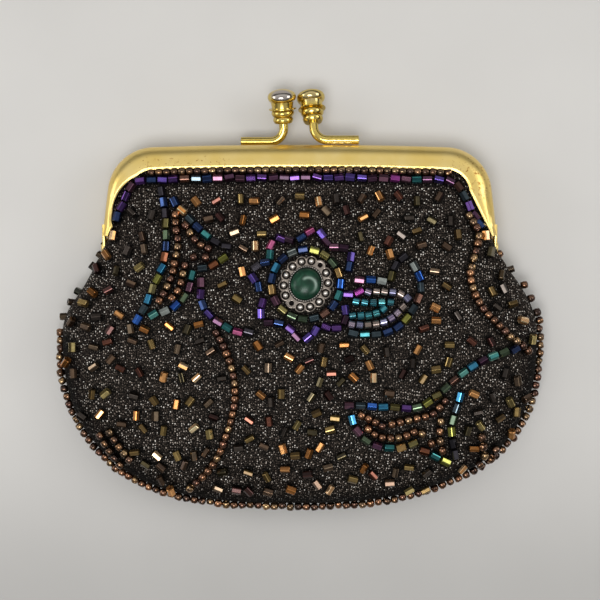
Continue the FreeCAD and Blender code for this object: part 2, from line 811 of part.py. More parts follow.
def edge_beads():
    """Round beads strung along the sewn edge, from hip to hip round the foot of the bag."""
    steps = 60
    outline = []
    for k in range(-steps, steps + 1):
        y = hip_y + (bottom_y - hip_y) * math.cos(math.pi / 2 * k / steps)
        outline.append(at(math.copysign(bag_half_width_at(y), k) if k else 0.0, y, 0))
    curve = Part.BSplineCurve()
    curve.interpolate(Points=outline)
    count = int(curve.length() / seed_pitch)
    points = curve.discretize(count + 1)
    seats = []
    for k, point in enumerate(points):
        along = points[min(k + 1, count)] - points[max(k - 1, 0)]
        out = Vector(along.y, -along.x, 0).normalize()
        seats.append(point + out * (seed_radius + bead_seat_gap))
    return strung(seed_bead(), seats, [Vector(0, 0, 1)] * len(seats))


# Flower

def on_flower(shape):
    """A shape made flat and upright round the flower's middle, turned and laid on the cloth there."""
    seat, out = on_cloth(flower_x, flower_y, FRONT, flower_sag)
    tilt = FreeCAD.Rotation(Vector(0, 0, 1), flower_tilt_deg)
    shape.Placement = FreeCAD.Placement(seat, FreeCAD.Rotation(Vector(0, 0, 1), out) * tilt)
    return shape


def setting_point(inset, lobe, height):
    """A point of the oval setting, set in from its edge, by lobes counted round from the right."""
    angle = 2 * math.pi * lobe / setting_lobe_count
    across = (setting_half_width - inset) * math.cos(angle)
    return Vector(across, (setting_half_height - inset) * math.sin(angle), height)


def oval(half_width, half_height, height):
    """Upright oval block standing on the setting."""
    base = Vector(0, 0, setting_thickness)
    curve = Part.Ellipse(base + Vector(0, half_height, 0), base + Vector(half_width, 0, 0), base)
    return Part.Face(Part.Wire(curve.toShape())).extrude(Vector(0, 0, height))


def flower_setting():
    """Scalloped plate with a stud on each lobe, two sewing holes and an oval bezel."""
    lobes = []
    for k in range(setting_lobe_count):
        start = setting_point(setting_lobe_depth, k - 0.5, 0)
        end = setting_point(setting_lobe_depth, k + 0.5, 0)
        lobes.append(Part.Arc(start, setting_point(0, k, 0), end).toShape())
    solid = Part.Face(Part.Wire(lobes)).extrude(Vector(0, 0, setting_thickness))
    seat_width = cabochon_half_width + bezel_clearance
    seat_height = cabochon_half_height + bezel_clearance
    bezel = oval(seat_width + bezel_wall, seat_height + bezel_wall, bezel_height)
    solid = solid.fuse(bezel.cut(oval(seat_width, seat_height, bezel_height)))
    for k in range(setting_lobe_count):
        if k in sewing_hole_lobes:
            start = setting_point(setting_stud_inset, k, -setting_thickness)
            hole = Part.makeCylinder(sewing_hole_radius, 3 * setting_thickness, start, Vector(0, 0, 1))
            solid = solid.cut(hole)
        else:
            seat = setting_point(setting_stud_inset, k, setting_thickness)
            solid = solid.fuse(Part.makeSphere(setting_stud_radius, seat))
    return on_flower(solid.removeSplitter())


def cabochon():
    """Oval green stone with a domed top, seated inside the bezel."""
    dome = Part.makeSphere(1.0, Vector(0, 0, 0), Vector(0, 0, 1), 0, 90, 360)
    scale = FreeCAD.Matrix()
    scale.scale(cabochon_half_width, cabochon_half_height, cabochon_dome)
    scale.move(Vector(0, 0, setting_thickness + bezel_clearance))
    return on_flower(dome.transformGeometry(scale))


def laid_bugles(places, lift=0):
    """Bugle beads on the front cloth, each given by its middle and the way it points, raised by the lift."""
    beads = []
    for middle, along in places:
        centre, out = on_cloth(middle.x, middle.y, FRONT, bugle_radius + lift)
        placed = bugle_bead()
        placed.Placement = FreeCAD.Placement(centre, FreeCAD.Rotation(along, Vector(), out, "XZY"))
        beads.append(placed)
    return Part.makeCompound(beads)


def round_flower(radius, angle):
    """A place on the cloth by its distance from the flower's middle and its turn from the right."""
    return Vector(flower_x + radius * math.cos(angle), flower_y + radius * math.sin(angle), 0)


def flower_ring():
    """Ring of bugle beads sewn round the setting."""
    count = int(2 * math.pi * flower_ring_radius / bugle_pitch)
    turns = [2 * math.pi * k / count for k in range(count)]
    return laid_bugles([
        (round_flower(flower_ring_radius, a), Vector(-math.sin(a), math.cos(a), 0)) for a in turns
    ])


def flower_petals():
    """Star of pointed petals: a zigzag of bugle beads between the tips and the valleys. The petal that the
    leaf grows over is left out."""
    step = math.pi / petal_count
    first = math.radians(petal_first_tip_deg)
    corners = []
    for k in range(2 * petal_count + 1):
        radius = petal_valley_radius if k % 2 else petal_tip_radius
        corners.append(round_flower(radius, first + k * step))
    places = []
    for k, (start, end) in enumerate(zip(corners, corners[1:])):
        if (k + 1) // 2 == petal_under_leaf:
            continue
        tip, valley = (end, start) if k % 2 else (start, end)
        along = (valley - tip).normalize()
        for n in range(petal_beads_per_side):
            reach = petal_tip_gap + bugle_length / 2 + n * (bugle_length + petal_bead_gap)
            places.append((tip + along * reach, along))
    return laid_bugles(places)


# Embroidery

def flowing_line(points):
    """Smooth wire through the points, each stretch led by the line between its neighbours."""
    knots = [at(x, y, 0) for x, y in points]
    knots = [knots[0] + (knots[0] - knots[1])] + knots + [knots[-1] + (knots[-1] - knots[-2])]
    edges = []
    for a, b, c, d in zip(knots, knots[1:], knots[2:], knots[3:]):
        stretch = Part.BezierCurve()
        stretch.setPoles([b, b + (c - a) * (1 / 6), c - (d - b) * (1 / 6), c])
        edges.append(stretch.toShape())
    return Part.Wire(edges)


def places_along(points, pitch):
    """Places a pitch or a little more apart along a flowing line."""
    line = flowing_line(points)
    return line.discretize(int(line.Length / pitch) + 1)


def embroidered(shape, radius, pitch, lines):
    """Rows of one kind of bead on the front cloth, along all the lines."""
    rows = [row_on_cloth(shape, radius, places_along(points, pitch), FRONT) for points in lines]
    return Part.makeCompound([bead for row in rows for bead in row.Solids])


def bugle_embroidery(lines):
    """Rows of bugle beads along the lines."""
    return embroidered(bugle_bead(), bugle_radius, bugle_pitch, lines)


def seed_embroidery(lines):
    """Rows of seed beads along the lines."""
    return embroidered(seed_bead(), seed_radius, seed_pitch, lines)


bugle_lines = (
    leaf_bugle_lines + left_leaf_bugle_lines + violet_vine_lines + right_leaf_bugle_lines
)
seed_lines = (
    leaf_seed_lines + left_leaf_seed_lines + left_seed_vine_lines + right_leaf_seed_lines
    + right_seed_vine_lines
)


def scattered_bugles():
    """Single bugle beads on a staggered grid over the front, each nudged and turned by a steady angle, clear
    of the rows, the flower and the cloth that the arms swing over."""
    taken = [place for points in bugle_lines for place in places_along(points, bugle_pitch)]
    taken += [place for points in seed_lines for place in places_along(points, seed_pitch)]
    rows = int((scatter_top_y - bottom_y) / scatter_pitch)
    columns = int(bag_half_width / scatter_pitch) + 1
    places = []
    for row in range(rows + 1):
        for column in range(-columns, columns + 1):
            turn = math.radians(scatter_turn_deg * (row * (2 * columns + 1) + column))
            x = (column + row % 2 / 2) * scatter_pitch + scatter_nudge * math.cos(2 * turn)
            y = scatter_top_y - row * scatter_pitch + scatter_nudge * math.sin(3 * turn)
            place = at(x, y, 0)
            on_panel = y > bottom_y + scatter_edge and abs(x) < bag_half_width_at(y) - scatter_edge
            off_flower = math.hypot(x - flower_x, y - flower_y) > petal_tip_radius + bugle_length / 2
            off_rows = min((place - other).Length for other in taken) > scatter_clear
            off_hinge = y < scatter_hinge_y or abs(x) < corner.x
            if on_panel and off_flower and off_rows and off_hinge:
                places.append((place, Vector(math.cos(turn), math.sin(turn), 0)))
    return laid_bugles(places, scatter_lift)


# Pieces of the purse

def pieces():
    yoke, fold, pouch = front_panels()
    return {
        "front_frame": frame_half(FRONT),
        "back_frame": frame_half(BACK),
        "left_hinge_rivet": hinge_rivet(LEFT),
        "right_hinge_rivet": hinge_rivet(RIGHT),
        "right_clasp_stem": clasp_stem(FRONT),
        "left_clasp_stem": clasp_stem(BACK),
        "right_clasp_knob": clasp_knob(FRONT),
        "left_clasp_knob": clasp_knob(BACK),
        "front_packing_cord": packing_cord(FRONT),
        "back_packing_cord": packing_cord(BACK),
        "front_panel_yoke": yoke,
        "front_panel_fold": fold,
        "front_panel_pouch": pouch,
        "back_panel": back_panel(),
        "front_lining": lining(FRONT, front_crown),
        "back_lining": lining(BACK, back_crown),
        "front_lip_seed_beads": lip_beads(seed_bead(), seed_radius, seed_pitch, seed_line, FRONT),
        "back_lip_seed_beads": lip_beads(seed_bead(), seed_radius, seed_pitch, seed_line, BACK),
        "front_lip_bugle_beads": lip_beads(bugle_bead(), bugle_radius, bugle_pitch, bugle_line, FRONT),
        "back_lip_bugle_beads": lip_beads(bugle_bead(), bugle_radius, bugle_pitch, bugle_line, BACK),
        "edge_seed_beads": edge_beads(),
        "flower_setting": flower_setting(),
        "flower_cabochon": cabochon(),
        "flower_ring_beads": flower_ring(),
        "flower_petal_beads": flower_petals(),
        "leaf_bugle_beads": bugle_embroidery(leaf_bugle_lines),
        "leaf_seed_beads": seed_embroidery(leaf_seed_lines),
        "left_leaf_bugle_beads": bugle_embroidery(left_leaf_bugle_lines),
        "left_leaf_seed_beads": seed_embroidery(left_leaf_seed_lines),
        "violet_vine_beads": bugle_embroidery(violet_vine_lines),
        "left_seed_vine_beads": seed_embroidery(left_seed_vine_lines),
        "right_leaf_bugle_beads": bugle_embroidery(right_leaf_bugle_lines),
        "right_leaf_seed_beads": seed_embroidery(right_leaf_seed_lines),
        "right_seed_vine_beads": seed_embroidery(right_seed_vine_lines),
        "scattered_bugle_beads": scattered_bugles(),
    }


os.makedirs("parts", exist_ok=True)
made = pieces()
for name, shape in made.items():
    shape.exportStep(os.path.join("parts", name + ".step"))
    print(name, "solids", len(shape.Solids), "volume", round(shape.Volume, 2), "valid", shape.isValid())
spread = [point for shape in made.values() for point in shape.tessellate(0.3)[0]]
for axis in "xyz":
    values = [getattr(point, axis) for point in spread]
    print("overall", axis, round(min(values), 3), round(max(values), 3))
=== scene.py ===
import bmesh
import bpy
import numpy as np
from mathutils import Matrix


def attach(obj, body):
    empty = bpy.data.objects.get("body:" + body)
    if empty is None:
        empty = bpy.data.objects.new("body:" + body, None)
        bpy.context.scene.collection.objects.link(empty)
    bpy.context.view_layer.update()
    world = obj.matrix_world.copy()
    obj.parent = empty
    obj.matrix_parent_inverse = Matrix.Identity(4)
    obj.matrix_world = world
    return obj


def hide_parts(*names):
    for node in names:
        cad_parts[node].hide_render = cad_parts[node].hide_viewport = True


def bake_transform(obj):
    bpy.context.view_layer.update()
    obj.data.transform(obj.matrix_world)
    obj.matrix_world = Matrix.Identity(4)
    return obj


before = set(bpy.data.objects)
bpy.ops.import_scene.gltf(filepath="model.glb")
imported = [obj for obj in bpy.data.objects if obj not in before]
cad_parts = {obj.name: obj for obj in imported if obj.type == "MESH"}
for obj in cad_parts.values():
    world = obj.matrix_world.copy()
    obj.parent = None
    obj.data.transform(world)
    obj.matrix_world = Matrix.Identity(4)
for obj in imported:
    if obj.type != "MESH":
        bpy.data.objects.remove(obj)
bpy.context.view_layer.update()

# Table, light and camera
# The purse lies on its back on a pale painted table, and the camera looks straight down on it.
# The room is brightest overhead and on the far side, with soft panels above and at the two sides.

mm = 0.001
seam_z = 6.4
picture_width = 600
pixels_per_mm = 4.235
camera_middle = np.array([0.05, 0.12])
camera_height = 330.0
sensor_width = 36.0
table_reach = 4.0
mottle_size = 1000 / 30


def linear(code):
    """A colour written as sRGB hex, as the linear RGBA that a shader takes."""
    srgb = np.array([int(code[k:k + 2], 16) for k in (1, 3, 5)]) / 255
    light = np.where(srgb <= 0.04045, srgb / 12.92, ((srgb + 0.055) / 1.055) ** 2.4)
    return (*light.tolist(), 1.0)


def add(tree, kind, inputs=None, **settings):
    """Adds a node with its settings and inputs. An input is a plain value, a hex colour, a socket to link,
    or a node whose first output in use is linked."""
    node = tree.nodes.new("ShaderNode" + kind)
    for name, value in settings.items():
        setattr(node, name, value)
    for name, value in (inputs or {}).items():
        if isinstance(value, bpy.types.Node):
            value = next(output for output in value.outputs if output.enabled)
        if isinstance(value, bpy.types.NodeSocket):
            tree.links.new(value, node.inputs[name])
        else:
            node.inputs[name].default_value = linear(value) if isinstance(value, str) else value
    return node


def toned(tree, share, *stops):
    """A ramp over a share, with stops of a place and a hex colour or a grey level."""
    ramp = add(tree, "ValToRGB", {"Fac": share})
    for k, (place, colour) in enumerate(stops):
        stop = ramp.color_ramp.elements[k] if k < 2 else ramp.color_ramp.elements.new(place)
        stop.position = place
        stop.color = linear(colour) if isinstance(colour, str) else (colour, colour, colour, 1)
    return ramp


def grain(tree, size, detail, **more):
    """Noise on the object, with grains of that size in mm."""
    place = add(tree, "TexCoord").outputs["Object"]
    return add(tree, "TexNoise", {"Vector": place, "Scale": 1000 / size, "Detail": detail, **more})


def ranged(tree, value, low, high, start=0.0, end=1.0, **settings):
    """A value that goes from low to high while the given one goes from start to end."""
    return add(tree, "MapRange", {"Value": value, "From Min": start, "From Max": end, "To Min": low,
                                  "To Max": high}, **settings)


def mixed(tree, share, first, second, blend="MIX"):
    """A second colour laid over the first by a share."""
    return add(tree, "Mix", {"Factor": share, "A": first, "B": second}, data_type="RGBA", blend_type=blend)


def surface(tree, looks):
    """Ends a material's tree with one shader of those looks."""
    add(tree, "OutputMaterial", {"Surface": add(tree, "BsdfPrincipled", looks)})


def blank_material(name):
    """An empty material of that name, and its node tree."""
    material = bpy.data.materials.new(name)
    material.use_nodes = True
    material.node_tree.nodes.clear()
    return material, material.node_tree


def placed(name, data):
    """A new object of that data, in the scene."""
    made = bpy.data.objects.new(name, data)
    bpy.context.scene.collection.objects.link(made)
    return made


# Matt painted board: a pale grey with the faintest mottling, and painted shade darkening it toward the near
# edge
painted_board, tree = blank_material("matt painted board")
tone = toned(tree, grain(tree, mottle_size, 3.0), (0.3, "#c9c7c4"), (0.7, "#cdcbc8"))
across = add(tree, "SeparateXYZ", {"Vector": add(tree, "TexCoord").outputs["Object"]})
# Painted shade: the board's colour is darkened toward the table's near edge
painted_near_shade = ranged(tree, across.outputs["Y"], 0.68, 1.0, -0.075, -0.02, interpolation_type="SMOOTHSTEP")
surface(tree, {"Base Color": mixed(tree, 1.0, tone, painted_near_shade, "MULTIPLY"), "Roughness": 0.7})

table_mesh = bpy.data.meshes.new("table")
table_corners = [(-1, -1), (1, -1), (1, 1), (-1, 1)]
table_mesh.from_pydata([(x * table_reach, y * table_reach, 0) for x, y in table_corners], [], [(0, 1, 2, 3)])
table_mesh.materials.append(painted_board)
placed("table", table_mesh)

room = bpy.data.worlds.new("room")
room.use_nodes = True
tree = room.node_tree
tree.nodes.clear()
way = add(tree, "SeparateXYZ", {"Vector": add(tree, "TexCoord").outputs["Generated"]})
rise = ranged(tree, way.outputs["Z"], 0.0, 1.0, -0.1, 1.0)
walls = toned(tree, rise, (0.0, 0.2), (1.0, 0.4), (0.28, 0.1), (0.48, 0.6), (0.65, 1.4), (0.965, 1.15),
              (0.985, 0.7))
far_side = ranged(tree, way.outputs["Y"], 0.32, 0.66, -0.6, 0.6)
level = add(tree, "Math", {0: walls, 1: far_side}, operation="MULTIPLY")
add(tree, "OutputWorld", {"Surface": add(tree, "Background", {"Color": "#fbfaf7", "Strength": level})})
bpy.context.scene.world = room


def soft_panel(name, place, size, power):
    """A rectangular lamp at a place in metres, turned to face the origin."""
    lamp = bpy.data.lights.new(name, "AREA")
    lamp.shape = "RECTANGLE"
    lamp.size, lamp.size_y = size
    lamp.energy = power
    panel = placed(name, lamp)
    panel.location = place
    x, y, z = place
    panel.rotation_euler = (np.arctan2(-y, np.hypot(x, z)), -np.arctan2(-x, z), 0)


soft_panel("overhead_panel", (-0.1, -0.28, 0.95), (0.5, 0.36), 4.7)
soft_panel("right_panel", (0.8, 0.15, 0.55), (0.35, 0.6), 2.0)
soft_panel("left_panel", (-0.9, 0.1, 0.4), (0.4, 0.6), 2.0)

camera_data = bpy.data.cameras.new("camera")
camera_data.sensor_width = sensor_width
camera_data.lens = sensor_width * camera_height * pixels_per_mm / picture_width
camera = placed("camera", camera_data)
camera.location = (*(camera_middle * mm), (seam_z + camera_height) * mm)
bpy.context.scene.camera = camera
bpy.context.scene.view_settings.view_transform = "Standard"

# Frame halves
# Two channels stamped from brass sheet and gold plated: a bowed top bar with round corners and two
# flared arms. Each channel has a domed face, a rolled lip over the cloth and a riveted ear at each foot.

frame_half_width = 46.6
frame_top_y = 36.6
frame_top_bow = 0.6
arm_flare = np.radians(6.5)
corner_radius = 11.0
hinge_y = 12.5
arm_foot_y = 15.2
band_width = 5.6
foot_band = 1.6
left_relief = 10.7
channel_depth = 5.4
channel_wall = 0.6
parting_gap = 0.15
shoulder_height = 1.5
edge_round = 0.75
crest_inset = 4.7
crest_share = 0.84
wall_reach = 5.0
lip_dip = 0.1
rim_height = 0.05
rim_inset = 0.45
rim_spread = 0.28
crease_depth = 0.16
crease_inset = 1.5
crease_spread = 0.2
lip_round = 0.12
relief_from_corner = np.array([0.9, 5.65])
ear_radius = 2.3
ear_thickness = 0.7
ear_gap = 0.15
ear_clearance = 0.05
ear_edge = 0.12
strap_length = 2.6
strap_span = (0.4, 3.2)
FRONT = 1
BACK = -1
body_of = {FRONT: "opening_frame", BACK: "bag"}

arm_out = np.array([np.cos(arm_flare), np.sin(arm_flare)])
arm_up = np.array([-np.sin(arm_flare), np.cos(arm_flare)])
arm_hinge = np.array([frame_half_width, hinge_y])
bow_radius = ((frame_half_width - corner_radius) ** 2 + frame_top_bow**2) / (2 * frame_top_bow)
bow_middle = np.array([0, frame_top_y - bow_radius])
from_bow = arm_hinge - arm_out * corner_radius - bow_middle
up_arm = from_bow @ arm_up
corner_middle = bow_middle + from_bow + arm_up * (
    np.sqrt(up_arm**2 - from_bow @ from_bow + (bow_radius - corner_radius) ** 2) - up_arm)


def arm_place(y, inset):
    """A place on the right arm by its y on the outside edge, set in square to that edge."""
    return arm_hinge + arm_up * (y - hinge_y) / np.cos(arm_flare) - arm_out * inset


def ways_at(angle):
    """Flat ways at angles from X."""
    return np.stack([np.cos(angle), np.sin(angle)], -1)


def turned_round(middle, radius, start, end, count):
    """Places and outward ways on an arc from one angle to another."""
    way = ways_at(np.linspace(start, end, count))
    return middle + radius * way, way


def frame_edge(steps):
    """The frame's outside edge from left foot to right: places, outward ways and the share down the arm."""
    bow_end = np.arctan2(*(corner_middle - bow_middle)[::-1])
    top, top_out = turned_round(bow_middle, bow_radius, np.pi / 2, bow_end, steps)
    turn, turn_out = turned_round(corner_middle, corner_radius, bow_end, arm_flare, steps // 2)
    down = np.linspace(0, 1, steps)[1:, None]
    arm = turn[-1] + (arm_place(arm_foot_y, 0) - turn[-1]) * down
    places = np.concatenate([top, turn[1:], arm])
    outs = np.concatenate([top_out, turn_out[1:], np.repeat(turn_out[-1:], len(arm), 0)])
    share = np.concatenate([np.zeros(len(top) + len(turn) - 1), down[:, 0]])
    flip = np.array([-1, 1])
    return (np.concatenate([(places * flip)[:0:-1], places]),
            np.concatenate([(outs * flip)[:0:-1], outs]),
            np.concatenate([share[:0:-1], share]))


def channel_chain(band, share):
    """Outside of the channel's section for each band width, as inset and height along its length:
    the inner wall, a rounded outside edge, a quarter-ellipse dome, a raised rim and the lip."""
    band, share = band[:, None], share[:, None]
    step = np.linspace(0, 1, 12)
    quarter = np.pi / 2 * step[1:]
    crest = np.minimum(crest_inset, crest_share * band)
    short = (wall_reach - np.minimum(0.9 * band, wall_reach)) / wall_reach
    depth = shoulder_height + (channel_depth - shoulder_height) * np.sqrt(1 - short**2)
    wall_end = np.minimum(wall_reach, band - 0.5)
    inset = np.concatenate([
        wall_end + (edge_round - wall_end) * step[:6] / step[5],
        edge_round * (1 - np.sin(quarter)) + 0 * band,
        crest * (1 - np.cos(quarter)),
        crest + (band - crest) * step[1:],
    ], 1)
    height = np.concatenate([
        parting_gap + 0 * step[:6] + 0 * band,
        parting_gap + edge_round * (1 - np.cos(quarter)) + 0 * band,
        shoulder_height + (depth - shoulder_height) * np.sin(quarter),
        depth - lip_dip * step[1:] ** 2,
    ], 1)
    rim = rim_height * np.exp(-(((inset - band + rim_inset) / rim_spread) ** 2))
    crease = crease_depth * np.exp(-(((inset - crease_inset) / crease_spread) ** 2))
    crease = crease * np.clip(share * 5, 0, 1) * (band > 2.4)
    return inset, height + np.where(height > shoulder_height, rim - crease, 0)


def band_along(places, outs, share):
    """Width of the channel's band along the edge: even on the bar, narrowing down the arms, and dressed back
    on the left to a disc of the relief's radius inside the corner."""
    band = band_width + (foot_band - band_width) * share
    apart = places - (corner_middle - relief_from_corner) * [-1, 1]
    toward = np.sum(apart * outs, 1)
    inside = toward**2 - np.sum(apart**2, 1) + left_relief**2
    reach = toward - np.sqrt(np.maximum(inside, 0))
    return np.where((inside > 0) & (places[:, 0] < 0), np.minimum(band, reach), band)


def grid_faces(rows, columns, round_rows=False, round_columns=False):
    """Quads over a grid of points, closed round either way where asked."""
    down, across = np.arange(rows - (not round_rows)), np.arange(columns - (not round_columns))
    a, b = np.meshgrid(down, across, indexing="ij")
    c, d = (a + 1) % rows, (b + 1) % columns
    quads = [a * columns + b, c * columns + b, c * columns + d, a * columns + d]
    return np.stack(quads, -1).reshape(-1, 4)


def joined(parts):
    """Several sets of points and faces as one."""
    starts = np.cumsum([0] + [len(points) for points, _ in parts[:-1]])
    groups = zip(starts, (faces for _, faces in parts))
    faces = [[int(index + start) for index in face] for start, group in groups for face in group]
    return np.concatenate([points for points, _ in parts]), faces


def piece(name, points, faces, material, sharp_deg=38, weld=True):
    """A smooth mesh object from points in mm, with its doubles merged, faces outward and hard edges kept."""
    mesh = bpy.data.meshes.new(name)
    mesh.from_pydata((np.asarray(points) * mm).tolist(), [], [list(face) for face in faces])
    shell = bmesh.new()
    shell.from_mesh(mesh)
    if weld:
        bmesh.ops.remove_doubles(shell, verts=shell.verts, dist=2e-6)
    bmesh.ops.recalc_face_normals(shell, faces=shell.faces)
    shell.to_mesh(mesh)
    shell.free()
    mesh.shade_smooth()
    mesh.set_sharp_from_angle(angle=np.radians(sharp_deg))
    mesh.materials.append(material)
    return placed(name, mesh)


def settled(made, slot, body, *nodes):
    """Gives a piece the body that it rides on and the nodes that it stands for; the slot is not used."""
    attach(made, body)
    if nodes:
        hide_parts(*nodes)


def channel_shell(half):
    """One channel: its section carried round the edge as an outer and an inner wall, closed at both feet."""
    places, outs, share = frame_edge(48)
    inset, height = channel_chain(band_along(places, outs, share), share)
    along_inset = np.gradient(inset, axis=1)
    along_height = np.gradient(height, axis=1)
    length = np.hypot(along_inset, along_height) + 1e-9
    inner_inset = inset + along_height / length * channel_wall
    inner_height = height - along_inset / length * channel_wall
    tip_inset = (inset[:, -1:] + inner_inset[:, -1:]) / 2 + lip_round
    tip_height = (height[:, -1:] + inner_height[:, -1:]) / 2
    all_inset = np.concatenate([inset, tip_inset, inner_inset[:, ::-1]], 1)
    all_height = np.concatenate([height, tip_height, inner_height[:, ::-1]], 1)
    flat = places[:, None] - outs[:, None] * all_inset[..., None]
    points = np.concatenate([flat, seam_z + half * all_height[..., None]], -1)
    rows, columns = all_inset.shape
    count = inset.shape[1]
    chain = np.arange(count - 1)
    cap = np.stack([chain, chain + 1, 2 * count - chain - 1, 2 * count - chain], -1)
    tip = np.array([[count - 1, count, count + 1]])
    last = (rows - 1) * columns
    faces = grid_faces(rows, columns, round_columns=True).tolist()
    faces += sum((group.tolist() for group in (cap, cap + last, tip, tip + last)), [])
    return points.reshape(-1, 3), faces


front_ear_x = arm_place(arm_foot_y, 0)[0] - ear_thickness - ear_clearance
back_ear_x = front_ear_x - ear_gap - ear_thickness


def ear(half, x, side):
    """A flat ear: a disc round the rivet with a strap up into the arm, its edges eased, in stacked rings."""
    angle = np.linspace(0, np.pi * 1.5, 40)
    disc_y = hinge_y - ear_radius * np.sin(angle)
    disc_h = half * ear_radius * np.cos(angle)
    strap_y = arm_foot_y + np.array([0, strap_length, strap_length, 0])
    strap_h = half * np.repeat(strap_span, 2)
    outline = np.stack([np.concatenate([disc_y, strap_y]), np.concatenate([disc_h, strap_h])], -1)
    middle = np.array([hinge_y + 1.2, half * 0.8])
    eased = np.array([0, 0.95, 1, 1, 0.95, 0])[:, None, None]
    rings = middle + (outline - middle) * eased
    offsets = np.array([0, 0, ear_edge, ear_thickness - ear_edge, ear_thickness, ear_thickness])
    xs = np.broadcast_to(side * (x + offsets)[:, None], rings.shape[:2])
    points = np.stack([xs, rings[..., 0], seam_z + rings[..., 1]], -1)
    return points.reshape(-1, 3), grid_faces(*xs.shape, round_columns=True)


def patch(tree, location, scale):
    """A round patch of the object that fades from its middle out: a ball in stretched coordinates."""
    place = add(tree, "TexCoord").outputs["Object"]
    place = add(tree, "Mapping", {"Vector": place, "Location": location, "Scale": scale})
    return add(tree, "TexGradient", {"Vector": place}, gradient_type="SPHERICAL").outputs["Fac"]


# Gold plated brass, stamped and tumbled: satin yellow metal with rubbed patches and pinholes near the lip
gold_plate, tree = blank_material("gold plated brass")
gold_tone = toned(tree, grain(tree, 6.25, 3.0), (0.3, "#f4db92"), (0.7, "#eed07a"))
grit = grain(tree, 0.9, 5.0, Roughness=0.7)
corner_rub = patch(tree, (-2.6, -2.15, 0), (68, 80, 0))
lip_rub = patch(tree, (1.05, -6.2, 0), (40, 200, 0))
rubbed = add(tree, "Math", {0: corner_rub, 1: lip_rub}, operation="MAXIMUM")
worn = ranged(tree, grit, 0.0, 1.0, ranged(tree, rubbed, 0.82, 0.56, 0.0, 0.6), 0.86)
worn = add(tree, "Math", {0: worn, 1: 3.2}, operation="MULTIPLY", use_clamp=True)
tumbled = add(tree, "Bump", {"Height": grit, "Strength": 0.02, "Distance": 0.0002})
surface(tree, {"Base Color": mixed(tree, worn, gold_tone, "#a8702c"), "Metallic": 1.0,
               "Roughness": ranged(tree, grit, 0.32, 0.4), "Normal": tumbled})

for half, ear_x, node in ((FRONT, front_ear_x, "front_frame"), (BACK, back_ear_x, "back_frame")):
    stamped = joined([channel_shell(half), ear(half, ear_x, 1), ear(half, ear_x, -1)])
    settled(piece("plated_" + node, *stamped, gold_plate), "brass", body_of[half], node)

# Hinge rivets
# A turned brass rivet through the lapped ears of each side, with a flat head inside and a domed one outside.

rivet_head_radius = 1.6
rivet_radius = 0.8
rivet_head_height = 0.6
head_edge = 0.15


def unit(ways):
    """Ways made one long."""
    return ways / np.linalg.norm(ways, axis=-1, keepdims=True)


def revolved(profile, foot, axis, sides):
    """A turned piece: radius and height pairs swept round an axis from its foot."""
    axis = unit(np.asarray(axis))
    across = unit(np.cross(axis, [0.31, 0.87, 0.39]))
    other = np.cross(axis, across)
    angle = 2 * np.pi * np.arange(sides) / sides
    round_way = np.cos(angle)[:, None] * across + np.sin(angle)[:, None] * other
    radius, height = np.asarray(profile, float).T
    points = np.asarray(foot) + radius[:, None, None] * round_way + height[:, None, None] * axis
    return points.reshape(-1, 3), grid_faces(len(radius), sides, round_columns=True)


rivet_inner = back_ear_x - ear_clearance
rivet_length = front_ear_x + ear_thickness + ear_clearance - rivet_inner
dome = np.linspace(np.pi / 2, 0, 8)[1:]
rivet_profile = [
    (0, -rivet_head_height), (rivet_head_radius - head_edge, -rivet_head_height),
    (rivet_head_radius, -rivet_head_height + head_edge), (rivet_head_radius, 0), (rivet_radius, 0),
    (rivet_radius, rivet_length), (rivet_head_radius, rivet_length),
    *zip(rivet_head_radius * np.sin(dome), rivet_length + rivet_head_height * np.cos(dome)),
]
for side, name in ((1, "right_hinge_rivet"), (-1, "left_hinge_rivet")):
    turned = revolved(rivet_profile, (side * rivet_inner, hinge_y, seam_z), (side, 0, 0), 32)
    settled(piece("turned_" + name, *turned, gold_plate), "brass_turned", "bag", name)

# Clasp stems
# Two lengths of round brass wire, each soldered along a top bar and bent up to carry its knob.
# The two posts lean past each other, so the knobs snap over when the frame is pressed shut.

wire_radius = 1.08
wire_chamfer = 0.2
bend_radius = 3.2
stem_height = 1.7
stem_x = {FRONT: (13.9, 3.6, 2.6), BACK: (-14.0, -3.6, -4.25)}
cap_y = 47.96
cap_cross = 0.8
post_in_knob = 3.0
rib_radii = (2.4, 2.7)
rib_height = 1.6
flange_height = 0.3
neck_height = 1.5
cap_round = 1.35
cap_turn = np.pi / 3
flange_foot = len(rib_radii) * rib_height
knob_foot_to_cap = flange_foot + flange_height + neck_height + cap_round * np.sin(cap_turn)
run_y = frame_top_y + wire_radius + 0.03
solder_offset = np.array([0, -0.62, 0.42])
solder_radius = 0.5


def clasp_places(half):
    """End of the soldered run, corner of the bend, foot of the knob and the way along the knob."""
    run_x, foot_x, cap_x = stem_x[half]
    run = np.array([run_x, run_y, seam_z + half * stem_height])
    bend = np.array([foot_x, run_y, seam_z + half * stem_height])
    cap = np.array([cap_x, cap_y, seam_z - half * cap_cross])
    axis = unit(cap - bend)
    return run, bend, cap - axis * knob_foot_to_cap, axis


def tube(path, radii, sides):
    """A round section of changing radius carried along a path, with its ends closed."""
    path = np.asarray(path)
    along = unit(np.gradient(path, axis=0))
    across = unit(np.cross(along, [0.0, 0.0, 1.0]))
    other = np.cross(along, across)
    angle = 2 * np.pi * np.arange(sides) / sides
    ring = np.cos(angle)[:, None] * across[:, None] + np.sin(angle)[:, None] * other[:, None]
    radii = np.broadcast_to(np.asarray(radii, float).reshape(len(path), -1), (len(path), sides))
    points = path[:, None] + ring * radii[..., None]
    return points.reshape(-1, 3), grid_faces(len(path), sides, round_columns=True)


